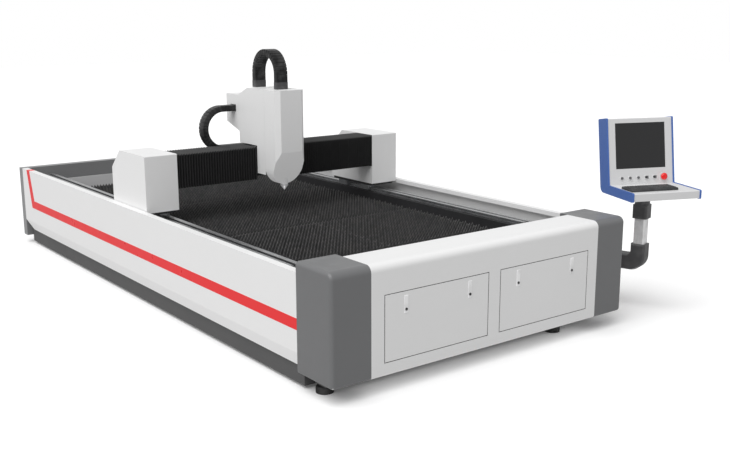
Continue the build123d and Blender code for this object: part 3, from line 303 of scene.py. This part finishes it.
# One colour below a level and another above it
def splitColour(material, level, low, high):
    tree = material.node_tree
    height = splitAxes(tree, objectPlace(tree))["Z"]
    above = calculate(tree, "GREATER_THAN", height, at(0, 0, level).z)
    paintTwice(tree, above, low, high)


# Painted shade in the seams round the doors: edge faces near the front, between two levels, painted
# dark
def paintSeamShade(material, sizes, colour, dark):
    tree = material.node_tree
    coordinates = addNode(tree, "TexCoord")
    facing = splitAxes(tree, coordinates.outputs["Normal"])
    place = splitAxes(tree, coordinates.outputs["Object"])
    sideways = calculate(tree, "ABSOLUTE", facing["Y"], 0)
    seam = calculate(tree, "LESS_THAN", sideways, sizes["facing"])
    low = at(0, 0, sizes["low"])
    high = at(0, sizes["depth"], sizes["high"])
    for socket, operation, limit in (("Z", "GREATER_THAN", low.z), ("Z", "LESS_THAN", high.z),
                                     ("Y", "LESS_THAN", high.y)):
        inside = calculate(tree, operation, place[socket], limit)
        seam = calculate(tree, "MULTIPLY", seam, inside)
    paintTwice(tree, seam, colour, dark)


seamShadeSizes = {"low": 160.0, "high": 575.0, "depth": 12.0, "facing": 0.5}
paintLevels = {"skid": 138.5, "collar": 815.5, "barrelNeck": 840.0}
whitePaint = makeMaterial("whitePaint", powderCoat, (0.80, 0.80, 0.80), Gloss=0.38)
doorPaint = makeMaterial("doorPaint", powderCoat, (0.77, 0.77, 0.77), Gloss=0.38)
# Painted shade: the doors' seam edge faces in near black
paintSeamShade(doorPaint, seamShadeSizes, (0.77, 0.77, 0.77), (0.01, 0.01, 0.01))
greyPaint = makeMaterial("greyPaint", powderCoat, (0.145, 0.147, 0.15), Gloss=0.36, Clouding=0.1)
rearPaint = makeMaterial("rearPaint", powderCoat, (0.23, 0.232, 0.235), Gloss=0.4, Clouding=0.1)
wallPaint = makeMaterial("wallPaint", powderCoat, (0.70, 0.70, 0.705), Gloss=0.45, Clouding=0.15)
framePaint = makeMaterial("framePaint", powderCoat, (0.095, 0.095, 0.095), specular=0.2, Gloss=0.7,
                          Clouding=0.1)
splitColour(framePaint, paintLevels["skid"], (0.095, 0.095, 0.095), (0.013, 0.013, 0.014))
beamPaint = makeMaterial("beamPaint", powderCoat, (0.03, 0.03, 0.031), Gloss=0.5, Clouding=0.1)
stripePaint = makeMaterial("stripePaint", powderCoat, (0.80, 0.026, 0.03), specular=0.25, Gloss=0.32,
                           Clouding=0.02)
motorPaint = makeMaterial("motorPaint", powderCoat, (0.02, 0.02, 0.022), Gloss=0.45)
bezelPaint = makeMaterial("bezelPaint", powderCoat, (0.64, 0.64, 0.645), Gloss=0.4)
splitColour(bezelPaint, paintLevels["collar"], (0.075, 0.075, 0.078), (0.64, 0.64, 0.645))
bluePaint = makeMaterial("bluePaint", powderCoat, (0.055, 0.135, 0.42), Gloss=0.36)
groundSteel = makeMaterial("groundSteel", drawnMetal, (0.56, 0.57, 0.58), 1.0)
blockSteel = makeMaterial("blockSteel", drawnMetal, (0.42, 0.43, 0.44), 1.0, Gloss=0.4,
                          Lines=(60, 60, 400))
columnAlloy = makeMaterial("columnAlloy", drawnMetal, (0.95, 0.95, 0.95), 0.45, Gloss=0.34,
                           Lines=(500, 500, 5))
latchAlloy = makeMaterial("latchAlloy", drawnMetal, (0.92, 0.92, 0.925), 0.15, Gloss=0.3,
                          Lines=(600, 600, 8))
keyMetal = makeMaterial("keyMetal", drawnMetal, (0.22, 0.22, 0.23), 1.0, Gloss=0.25,
                        Lines=(300, 300, 300))
nozzlePlate = makeMaterial("nozzlePlate", drawnMetal, (0.55, 0.55, 0.56), 0.4, Gloss=0.5,
                           Lines=(40, 40, 900))
barrelAlloy = makeMaterial("barrelAlloy", drawnMetal, (0.09, 0.09, 0.095), 0.1, Gloss=0.4,
                           Lines=(40, 40, 700))
splitColour(barrelAlloy, paintLevels["barrelNeck"], (0.78, 0.78, 0.785), (0.09, 0.09, 0.095))
slatSteel = makeMaterial("slatSteel", millScale, (0.035, 0.035, 0.036))
traySteel = makeMaterial("traySteel", millScale, (0.03, 0.03, 0.031), Tip=0.52, Band=0.01)
footRubber = makeMaterial("footRubber", mouldGrain, (0.012, 0.012, 0.012), Gloss=0.65)
chainPlastic = makeMaterial("chainPlastic", mouldGrain, (0.008, 0.008, 0.0085), specular=0.3, Gloss=0.3,
                            Depth=0.05)
bracketPlastic = makeMaterial("bracketPlastic", mouldGrain, (0.045, 0.045, 0.047), Gloss=0.45)
elbowCast = makeMaterial("elbowCast", mouldGrain, (0.068, 0.068, 0.07), Gloss=0.48, Grain=500,
                         Depth=0.3)
blackPlastic = makeMaterial("blackPlastic", mouldGrain, (0.025, 0.025, 0.027), Gloss=0.45)
keyPlastic = makeMaterial("keyPlastic", mouldGrain, (0.05, 0.05, 0.052), Gloss=0.5, Grain=1500)
# The bellows' upward faces carry patches of painted light
bellowsCloth = makeMaterial("bellowsCloth", coatedCloth, (0.005, 0.005, 0.0055))
screenGlass = makeMaterial("screenGlass", powderCoat, (0.013, 0.013, 0.014), Gloss=0.4,
                           Clouding=0.0, Peel=0.0)
stopRed = makeMaterial("stopRed", mouldGrain, (0.78, 0.004, 0.004), Gloss=0.28, Depth=0.05)

finishes = {
    whitePaint: ["side_panel_left", "side_panel_right", "gantry_cover_left", "gantry_cover_right",
                 "carriage_cover", "head_cover"],
    doorPaint: ["front_cover", "door_left", "door_right"],
    greyPaint: ["corner_cover_left", "corner_cover_right"],
    rearPaint: ["rear_cover"],
    wallPaint: ["bed_rear_wall"],
    framePaint: ["base_frame"],
    beamPaint: ["slag_pan", "gantry_beam", "chain_tray"],
    motorPaint: ["gantry_motors", "carriage_motor", "lift_motor"],
    groundSteel: ["bed_rails", "bed_racks", "beam_rails", "beam_rack", "lift_rails", "lift_screw",
                  "bed_pinion_left", "bed_pinion_right", "beam_pinion"],
    blockSteel: ["bed_blocks", "beam_blocks", "lift_slide", "carriage_plate"],
    slatSteel: ["slats"],
    traySteel: ["slat_trays"],
    footRubber: ["levelling_feet"],
    bellowsCloth: ["bellows_left", "bellows_right"],
    chainPlastic: ["beam_chain", "head_chain"],
    columnAlloy: ["console_column"],
    barrelAlloy: ["cutting_barrel"],
    latchAlloy: ["latch_plates_left", "latch_plates_right"],
    nozzlePlate: ["nozzle"],
    elbowCast: ["console_elbow"],
    bezelPaint: ["console_shell"],
    bluePaint: ["console_sides"],
    screenGlass: ["screen"],
    blackPlastic: ["keyboard", "latch_button_left_1", "latch_button_left_2",
                   "latch_button_right_1", "latch_button_right_2"],
    keyMetal: ["key_switch_1", "key_switch_2", "push_button_1", "push_button_2", "push_button_3"],
    stopRed: ["emergency_stop"],
}
for material, names in finishes.items():
    for name in names:
        nodes[name].data.materials.clear()
        nodes[name].data.materials.append(material)
print("finishes on", sum(len(names) for names in finishes.values()), "nodes")


# Modelling steps: places this near, in metres, count as one, and a face looks along an axis
# when its normal is past this limit there
near = 0.001
alongAxis = 0.5
edgeSizes = {"segments": 2, "angle": 35.0, "weld": 0.00002}


def clearSelection():
    if bpy.context.mode != "OBJECT":
        bpy.ops.object.mode_set(mode="OBJECT")
    bpy.ops.object.select_all(action="DESELECT")


def makeActive(piece):
    clearSelection()
    piece.select_set(True)
    bpy.context.view_layer.objects.active = piece


def settle(piece, name):
    makeActive(piece)
    bpy.ops.object.transform_apply(location=True, rotation=True, scale=True)
    piece.name = name
    piece.data.name = name
    return piece


def addBlock(name, low, high):
    clearSelection()
    bpy.ops.mesh.primitive_cube_add(size=1, location=(low + high) / 2)
    piece = bpy.context.object
    piece.scale = high - low
    return settle(piece, name)


# Leaves the piece in edit mode with the wanted corners selected
def pickVertices(piece, wanted):
    makeActive(piece)
    bpy.ops.object.mode_set(mode="EDIT")
    bpy.ops.mesh.select_mode(type="VERT")
    bpy.ops.mesh.select_all(action="DESELECT")
    bpy.ops.object.mode_set(mode="OBJECT")
    for vertex in piece.data.vertices:
        vertex.select = wanted(vertex.co)
    bpy.ops.object.mode_set(mode="EDIT")


def pickFaces(piece, wanted):
    makeActive(piece)
    bpy.ops.object.mode_set(mode="EDIT")
    bpy.ops.mesh.select_mode(type="FACE")
    bpy.ops.mesh.select_all(action="DESELECT")
    bpy.ops.object.mode_set(mode="OBJECT")
    for face in piece.data.polygons:
        face.select = wanted(face)
    bpy.ops.object.mode_set(mode="EDIT")


def moveVertices(piece, wanted, move):
    pickVertices(piece, wanted)
    bpy.ops.transform.translate(value=move)
    bpy.ops.object.mode_set(mode="OBJECT")


def applyModifier(piece, kind, **settings):
    makeActive(piece)
    modifier = piece.modifiers.new(kind.lower(), kind)
    for name, value in settings.items():
        setattr(modifier, name, value)
    bpy.ops.object.modifier_apply(modifier=modifier.name)


def roundEdges(piece, width):
    angle = math.radians(edgeSizes["angle"])
    applyModifier(piece, "BEVEL", width=width, segments=edgeSizes["segments"],
                  limit_method="ANGLE", angle_limit=angle)
    bpy.ops.object.shade_smooth_by_angle(angle=angle)


def repeat(piece, count, step):
    applyModifier(piece, "ARRAY", count=count, use_relative_offset=False,
                  use_constant_offset=True, constant_offset_displace=step,
                  use_merge_vertices=True, merge_threshold=edgeSizes["weld"])


def joinPieces(pieces, name):
    clearSelection()
    for piece in pieces:
        piece.select_set(True)
    bpy.context.view_layer.objects.active = pieces[0]
    bpy.ops.object.join()
    return settle(pieces[0], name)


def copyPiece(piece):
    makeActive(piece)
    bpy.ops.object.duplicate()
    return bpy.context.object


# Finish and slot of a piece, and the body it rides on when one is given
def dress(piece, material, body=None):
    piece.data.materials.clear()
    piece.data.materials.append(material)
    if body:
        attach(piece, body)
    return piece


# Slats: each is a plate on edge with a row of saw teeth
slatSizes = {"half": 845.0, "bottom": 433.0, "root": 525.0, "tip": 545.0, "thick": 5.0,
             "teeth": 65, "pitch": 70.0, "firstRow": 610.0, "sections": (1210.0, 1210.0, 1210.0),
             "endRoom": 24.0}


def makeSlats(sizes):
    pitch = 2 * sizes["half"] / sizes["teeth"]
    start = sizes["firstRow"]
    for number, length in enumerate(sizes["sections"], start=1):
        count = int((length - sizes["endRoom"] - sizes["pitch"] / 2) // sizes["pitch"]) + 1
        first = start + length / 2 - (count - 1) * sizes["pitch"] / 2
        start += length
        low = at(-sizes["half"], first - sizes["thick"] / 2, sizes["bottom"])
        high = at(-sizes["half"] + pitch, first + sizes["thick"] / 2, sizes["root"])
        tooth = addBlock("slatRow%d" % number, low, high)
        pickFaces(tooth, lambda face: abs(face.normal.x) > alongAxis)
        bpy.ops.mesh.delete(type="ONLY_FACE")
        bpy.ops.mesh.select_mode(type="EDGE")
        bpy.ops.object.mode_set(mode="OBJECT")
        for edge in tooth.data.edges:
            ends = [tooth.data.vertices[place].co.x for place in edge.vertices]
            edge.select = abs(ends[0] - ends[1]) > pitch / 2000
        bpy.ops.object.mode_set(mode="EDIT")
        bpy.ops.mesh.subdivide(number_cuts=1)
        middle = (low.x + high.x) / 2
        moveVertices(tooth, lambda place: abs(place.x - middle) < near and place.z > high.z - near,
                     (0, 0, (sizes["tip"] - sizes["root"]) / 1000))
        repeat(tooth, sizes["teeth"], (pitch / 1000, 0, 0))
        makeActive(tooth)
        bpy.ops.object.mode_set(mode="EDIT")
        bpy.ops.mesh.select_mode(type="EDGE")
        bpy.ops.mesh.select_all(action="DESELECT")
        bpy.ops.mesh.select_non_manifold()
        bpy.ops.mesh.fill_holes(sides=0)
        bpy.ops.mesh.select_all(action="SELECT")
        bpy.ops.mesh.normals_make_consistent(inside=False)
        bpy.ops.object.mode_set(mode="OBJECT")
        repeat(tooth, count, (0, sizes["pitch"] / 1000, 0))
        dress(tooth, slatSteel, "frame")
    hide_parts("slats")


makeSlats(slatSizes)
print("slats done")


# A piece between two places: both functions below only bake its place into its mesh
def blendEvenly(piece):
    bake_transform(piece)


def blendWhole(piece):
    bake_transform(piece)


# Bellows: folded cloth between stiff end frames
bellowsSizes = {"front": 2275.0, "rear": 2500.0, "bottom": 802.0, "top": 1045.0, "fold": 15.0,
                "pitch": 20.0, "perPiece": 4, "cloth": 1.6, "frame": 4.0, "frameDepth": 22.0,
                "frameRoof": 30.0, "frameCuts": 9,
                "left": (-960.0, -210.3), "right": (960.0, 33.3)}


def makeBellows(side, sizes):
    fixed, moving = sizes[side]
    direction = 1 if moving > fixed else -1
    length = abs(moving - fixed) - 2 * sizes["frame"]
    count = round(length / sizes["pitch"] / sizes["perPiece"])
    rearRun = sizes["rear"] - sizes["front"] - sizes["frameDepth"]
    pieces = []
    for body, outer in (("gantry", fixed), ("carriage", moving - direction * sizes["frame"])):
        ends = sorted((outer, outer + direction * sizes["frame"]))
        stiff = addBlock("bellowsFrame_%s_%s" % (side, body),
                         at(ends[0], sizes["front"], sizes["bottom"]),
                         at(ends[1], sizes["front"] + sizes["frameDepth"], sizes["top"]))
        pickFaces(stiff, lambda face: face.normal.y > alongAxis)
        bpy.ops.mesh.subdivide(number_cuts=sizes["frameCuts"])
        bpy.ops.object.mode_set(mode="OBJECT")
        limit = at(0, 0, sizes["top"] - sizes["frameRoof"]).z
        pickFaces(stiff, lambda face: face.normal.y > alongAxis and face.center.z > limit)
        bpy.ops.mesh.extrude_region_move(
            TRANSFORM_OT_translate={"value": (0, rearRun / 1000, 0)})
        bpy.ops.object.mode_set(mode="OBJECT")
        dress(stiff, motorPaint, body)
    for number in range(count):
        x0 = fixed + direction * (sizes["frame"] + length * number / count)
        x1 = fixed + direction * (sizes["frame"] + length * (number + 1) / count)
        pieces.append(makePleats("bellows_%s_%02d" % (side, number + 1), x0, x1, sizes))
        blendEvenly(pieces[-1])
    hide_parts("bellows_" + side)


def makePleats(name, x0, x1, sizes):
    middle = at((x0 + x1) / 2, sizes["front"], (sizes["bottom"] + sizes["top"]) / 2)
    columns = 2 * sizes["perPiece"]
    clearSelection()
    bpy.ops.mesh.primitive_grid_add(x_subdivisions=columns, y_subdivisions=1, size=1,
                                    location=middle, rotation=(math.radians(90), 0, 0))
    sheet = bpy.context.object
    sheet.scale = (abs(x1 - x0) / 1000, (sizes["top"] - sizes["bottom"]) / 1000, 1)
    settle(sheet, name)
    top = at(0, 0, sizes["top"]).z
    rear = at(0, sizes["rear"], 0).y
    pickVertices(sheet, lambda place: place.z > top - near)
    bpy.ops.mesh.extrude_region_move(
        TRANSFORM_OT_translate={"value": (0, (sizes["rear"] - sizes["front"]) / 1000, 0)})
    step = abs(x1 - x0) / 1000 / columns
    left = at(min(x0, x1), 0, 0).x

    def folded(place):
        return round((place.x - left) / step) % 2 == 1

    fold = sizes["fold"] / 1000
    moveVertices(sheet, lambda place: folded(place) and place.y < rear - near, (0, fold, 0))
    moveVertices(sheet, lambda place: folded(place) and place.z > top - near, (0, 0, -fold))
    makeActive(sheet)
    bpy.ops.object.mode_set(mode="EDIT")
    bpy.ops.mesh.select_all(action="SELECT")
    bpy.ops.mesh.normals_make_consistent(inside=False)
    bpy.ops.object.mode_set(mode="OBJECT")
    applyModifier(sheet, "SOLIDIFY", thickness=sizes["cloth"] / 1000, offset=0)
    return dress(sheet, bellowsCloth)


makeBellows("left", bellowsSizes)
makeBellows("right", bellowsSizes)
print("bellows done")


# Drag chains: one closed link, copied along a run, a half turn and a second run
linkSizes = {"pitch": 25.0, "thick": 44.0, "wall": 4.0, "seam": 0.15, "overlap": 16.0, "round": 0.3,
             "bracket": 50.0, "bracketLip": 1.5, "bracketRound": 2.0}
beamChain = {"name": "beamChain", "node": "beam_chain", "bodies": ("carriage", "gantry"),
             "middle": (-317.0, 2600.0, 1157.0), "radius": 148.0, "width": 70.0,
             "firstRun": 346.7, "length": 1285.2}
headChain = {"name": "headChain", "node": "head_chain", "bodies": ("carriage", "head"),
             "middle": (-88.5, 2267.0, 1573.3), "radius": 150.0, "width": 88.0,
             "firstRun": 107.0, "length": 685.2}


# Outer plates and lids meet at a seam; plates behind them overlap, so the chain stays closed
def makeLink(width, sizes):
    wall = sizes["wall"]
    outerHalf = sizes["pitch"] / 2 - sizes["seam"]
    innerHalf = sizes["pitch"] / 2 + sizes["overlap"]
    parts = []
    for half, inset in ((outerHalf, 0), (innerHalf, wall)):
        wide = width / 2 - inset
        tall = sizes["thick"] / 2 - inset
        for side in (-1, 1):
            edges = sorted((side * wide, side * (wide - wall)))
            plate = addBlock("linkPlate", Vector((-half, edges[0], -tall)) / 1000,
                             Vector((half, edges[1], tall)) / 1000)
            levels = sorted((side * tall, side * (tall - wall)))
            lid = addBlock("linkLid", Vector((-half, wall - wide, levels[0])) / 1000,
                           Vector((half, wide - wall, levels[1])) / 1000)
            for piece in (plate, lid):
                roundEdges(piece, sizes["round"] / 1000)
                parts.append(piece)
    return joinPieces(parts, "chainLink")


# Place and angle at one distance along the chain, in its own plane
def chainPlace(distance, firstRun, radius):
    turn = math.pi * radius
    if distance < firstRun:
        return firstRun - distance, radius, 0.0
    if distance < firstRun + turn:
        angle = (distance - firstRun) / radius
        return -radius * math.sin(angle), radius * math.cos(angle), -angle
    return distance - firstRun - turn, -radius, 0.0


# Share of the second body's motion at one distance along the chain; the bend takes half
bendShare = 0.5


def chainShare(distance, chain):
    turn = math.pi * chain["radius"]
    lastRun = chain["length"] - chain["firstRun"] - turn
    if distance < chain["firstRun"]:
        return bendShare * distance / chain["firstRun"]
    if distance < chain["firstRun"] + turn:
        return bendShare
    return bendShare + (1 - bendShare) * (distance - chain["firstRun"] - turn) / lastRun


# Puts a piece drawn about its own middle at a distance along the chain
def placeOnChain(piece, distance, chain, upright, name):
    along, up, angle = chainPlace(distance, chain["firstRun"], chain["radius"])
    x, y, z = chain["middle"]
    if upright:
        turned = Matrix.Rotation(math.radians(90), 4, "Z") @ Matrix.Rotation(
            math.radians(90) + angle, 4, "Y")
        piece.matrix_world = Matrix.Translation(at(x, y + up, z - along)) @ turned
    else:
        piece.matrix_world = Matrix.Translation(at(x + along, y, z + up)) @ Matrix.Rotation(
            angle, 4, "Y")
    return settle(piece, name)


# Bracket that holds one end of a chain
def makeBracket(chain, upright, sizes, last):
    half = Vector((sizes["bracket"], chain["width"] + 2 * sizes["bracketLip"],
                   sizes["thick"] + 2 * sizes["bracketLip"])) / 2000
    bracket = addBlock("chainBracket", -half, half)
    roundEdges(bracket, sizes["bracketRound"] / 1000)
    distance = chain["length"] - sizes["bracket"] / 2 if last else sizes["bracket"] / 2
    name = chain["name"] + ("_lastEnd" if last else "_firstEnd")
    placeOnChain(bracket, distance, chain, upright, name)
    dress(bracket, bracketPlastic, chain["bodies"][1 if last else 0])


def makeChain(chain, upright, sizes):
    link = makeLink(chain["width"], sizes)
    count = int(chain["length"] // sizes["pitch"])
    margin = (chain["length"] - count * sizes["pitch"]) / 2
    bend = []
    first = None
    for number in range(count):
        distance = margin + (number + 0.5) * sizes["pitch"]
        copy = placeOnChain(copyPiece(link), distance, chain, upright,
                            "%s_%02d" % (chain["name"], number + 1))
        dress(copy, chainPlastic)
        share = chainShare(distance, chain)
        if share == bendShare:
            bend.append(copy)
            continue
        blendWhole(copy)
        first = first or copy
    bent = joinPieces(bend, chain["name"] + "_bend")
    blendWhole(bent)
    for last in (False, True):
        makeBracket(chain, upright, sizes, last)
    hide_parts(chain["node"])
    bpy.data.objects.remove(link)


makeChain(beamChain, False, linkSizes)
makeChain(headChain, True, linkSizes)
print("chains done")


# Nozzle: a wide cone under the head cover, drawn ring by ring from the bore out and up
nozzleSizes = {"x": -88.5, "y": 2098.0, "sides": 64, "smooth": 30.0,
               "rings": ((1.2, 742.0), (1.2, 740.0), (4.0, 740.0), (5.5, 742.5), (26.5, 770.0),
                         (28.5, 772.5), (28.5, 780.0), (27.4, 781.5))}


def makeNozzle(sizes):
    rings = sizes["rings"]
    radius, level = rings[0]
    clearSelection()
    bpy.ops.mesh.primitive_circle_add(vertices=sizes["sides"], radius=radius / 1000,
                                      fill_type="NGON", location=at(sizes["x"], sizes["y"], level))
    piece = bpy.context.object
    bpy.ops.object.mode_set(mode="EDIT")
    bpy.ops.mesh.select_all(action="SELECT")
    bpy.ops.mesh.flip_normals()
    for nextRadius, nextLevel in rings[1:]:
        bpy.ops.mesh.extrude_region_move(
            TRANSFORM_OT_translate={"value": (0, 0, (nextLevel - level) / 1000)})
        bpy.ops.transform.resize(value=(nextRadius / radius, nextRadius / radius, 1),
                                 center_override=at(sizes["x"], sizes["y"], nextLevel))
        radius, level = nextRadius, nextLevel
    bpy.ops.mesh.select_all(action="SELECT")
    bpy.ops.mesh.normals_make_consistent(inside=False)
    bpy.ops.object.mode_set(mode="OBJECT")
    bpy.ops.object.shade_smooth_by_angle(angle=math.radians(sizes["smooth"]))
    settle(piece, "nozzleCone")
    dress(piece, nozzlePlate, "head")
    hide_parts("nozzle")


makeNozzle(nozzleSizes)
print("nozzle done")


# Red stripe along each side panel, turned up over the top edge at the rear
stripeSizes = {"side": 1150.0, "film": 0.5, "low": 349.0, "high": 415.0, "start": 319.0,
               "bendLow": 4512.0, "bendHigh": 4449.0, "topLow": 4597.0, "topHigh": 4528.0,
               "panelTop": 670.0, "topWidth": 50.0, "above": 5.0}


def makeStripe(side, sizes):
    film = sizes["film"]
    edges = sorted((side * sizes["side"], side * (sizes["side"] + film)))
    name = "stripe_right" if side > 0 else "stripe_left"
    stripe = addBlock(name, at(edges[0], sizes["start"], sizes["low"]),
                      at(edges[1], sizes["bendHigh"], sizes["high"]))
    far = at(0, sizes["bendHigh"], 0).y
    middle = (sizes["low"] + sizes["high"]) / 2000
    moveVertices(stripe, lambda place: place.y > far - near and place.z < middle,
                 (0, (sizes["bendLow"] - sizes["bendHigh"]) / 1000, 0))
    pickVertices(stripe, lambda place: place.y > far - near)
    top = sizes["panelTop"] + film
    bpy.ops.mesh.extrude_region_move(TRANSFORM_OT_translate={
        "value": (0, (sizes["topLow"] - sizes["bendLow"]) / 1000, (top - sizes["low"]) / 1000)})
    bpy.ops.object.mode_set(mode="OBJECT")
    limit = at(0, 0, top + sizes["above"]).z
    slope = (sizes["topHigh"] - sizes["bendHigh"]) - (sizes["topLow"] - sizes["bendLow"])
    moveVertices(stripe, lambda place: place.z > limit,
                 (0, slope / 1000, (sizes["low"] - sizes["high"]) / 1000))
    inner = sorted((side * (sizes["side"] + film), side * (sizes["side"] - sizes["topWidth"])))
    cap = addBlock("stripeTop", at(inner[0], sizes["topHigh"], sizes["panelTop"]),
                   at(inner[1], sizes["topLow"], top))
    stripe = joinPieces([stripe, cap], name)
    dress(stripe, stripePaint, "frame")


for side in (-1, 1):
    makeStripe(side, stripeSizes)
print("stripes done")


# Keyboard keys: one cap with a dished top, repeated, turned with the console
consoleSizes = {"x": 1530.0, "y": 160.0, "turn": -21.8}
keySizes = {"cap": 15.0, "gap": 4.0, "height": 4.0, "columns": 17, "rows": 6, "left": -211.5,
            "front": -222.0, "base": 885.0, "topShare": 0.82, "rim": 1.2, "dish": 0.4}


def placeOnConsole(piece, name):
    turn = Matrix.Rotation(math.radians(consoleSizes["turn"]), 4, "Z")
    piece.matrix_world = Matrix.Translation(at(consoleSizes["x"], consoleSizes["y"], 0)) @ turn
    return settle(piece, name)


def makeKeys(sizes):
    corner = Vector((sizes["left"], sizes["front"], sizes["base"])) / 1000
    size = Vector((sizes["cap"], sizes["cap"], sizes["height"])) / 1000
    cap = addBlock("keyCap", corner, corner + size)
    pickFaces(cap, lambda face: face.normal.z > alongAxis)
    bpy.ops.transform.resize(value=(sizes["topShare"], sizes["topShare"], 1))
    bpy.ops.mesh.inset(thickness=sizes["rim"] / 1000, depth=-sizes["dish"] / 1000)
    bpy.ops.object.mode_set(mode="OBJECT")
    step = (sizes["cap"] + sizes["gap"]) / 1000
    repeat(cap, sizes["columns"], (step, 0, 0))
    repeat(cap, sizes["rows"], (0, step, 0))
    placeOnConsole(cap, "keyboardKeys")
    dress(cap, keyPlastic, "console")


makeKeys(keySizes)
print("keys done")


# Floor: pale to the eye, darker as it lights the machine
floorLook = {"size": 60.0, "roughness": 0.9, "lighting": (0.42, 0.42, 0.42),
             "seen": (0.97, 0.97, 0.97)}
clearSelection()
bpy.ops.mesh.primitive_plane_add(size=floorLook["size"])
floor = bpy.context.object
floor.name = "floor"
floorPaint = bpy.data.materials.new("floorPaint")
floorPaint.use_nodes = True
floorTree = floorPaint.node_tree
floorShader = floorTree.nodes["Principled BSDF"]
floorShader.inputs["Roughness"].default_value = floorLook["roughness"]
floorView = addNode(floorTree, "LightPath")
floorColour = mixColours(floorTree, floorView.outputs["Is Camera Ray"], floorLook["lighting"],
                         floorLook["seen"])
floorTree.links.new(floorColour, floorShader.inputs["Base Color"])
floor.data.materials.append(floorPaint)

# Light: a white surround, a wide lamp from the upper left, and what a white floor sends back up
skyLevels = {"lighting": 0.60, "seen": 1.0}
lamps = {"keyLight": {"energy": 2.4, "source": (-0.39, -0.12, 0.6), "spread": 60.0, "shadow": True},
         "bounceLight": {"energy": 1.6, "source": (0, 0, -1.0), "spread": 4.0, "shadow": False}}
world = bpy.data.worlds.new("studio")
scene.world = world
world.use_nodes = True
sky = world.node_tree
background = sky.nodes["Background"]
skyView = addNode(sky, "LightPath").outputs["Is Camera Ray"]
strength = remap(sky, skyView, 0, 1, skyLevels["lighting"], skyLevels["seen"])
sky.links.new(strength, background.inputs["Strength"])
background.inputs["Color"].default_value = (1, 1, 1, 1)

for name, lamp in lamps.items():
    clearSelection()
    bpy.ops.object.light_add(type="SUN")
    light = bpy.context.object
    light.name = name
    light.data.energy = lamp["energy"]
    light.data.angle = math.radians(lamp["spread"])
    light.data.use_shadow = lamp["shadow"]
    light.rotation_euler = Vector(lamp["source"]).to_track_quat("Z", "Y").to_euler()

# Camera at the photograph's angle
cameraSizes = {"place": (-3847.9, -3871.1, 2017.9), "turn": (77.356, 0.148, -37.021),
               "lens": 48.13, "sensor": 36.0, "far": 200.0}
clearSelection()
bpy.ops.object.camera_add(location=at(*cameraSizes["place"]),
                          rotation=[math.radians(angle) for angle in cameraSizes["turn"]])
camera = bpy.context.object
camera.data.lens = cameraSizes["lens"]
camera.data.sensor_width = cameraSizes["sensor"]
camera.data.clip_end = cameraSizes["far"]
scene.camera = camera
print("stage done")
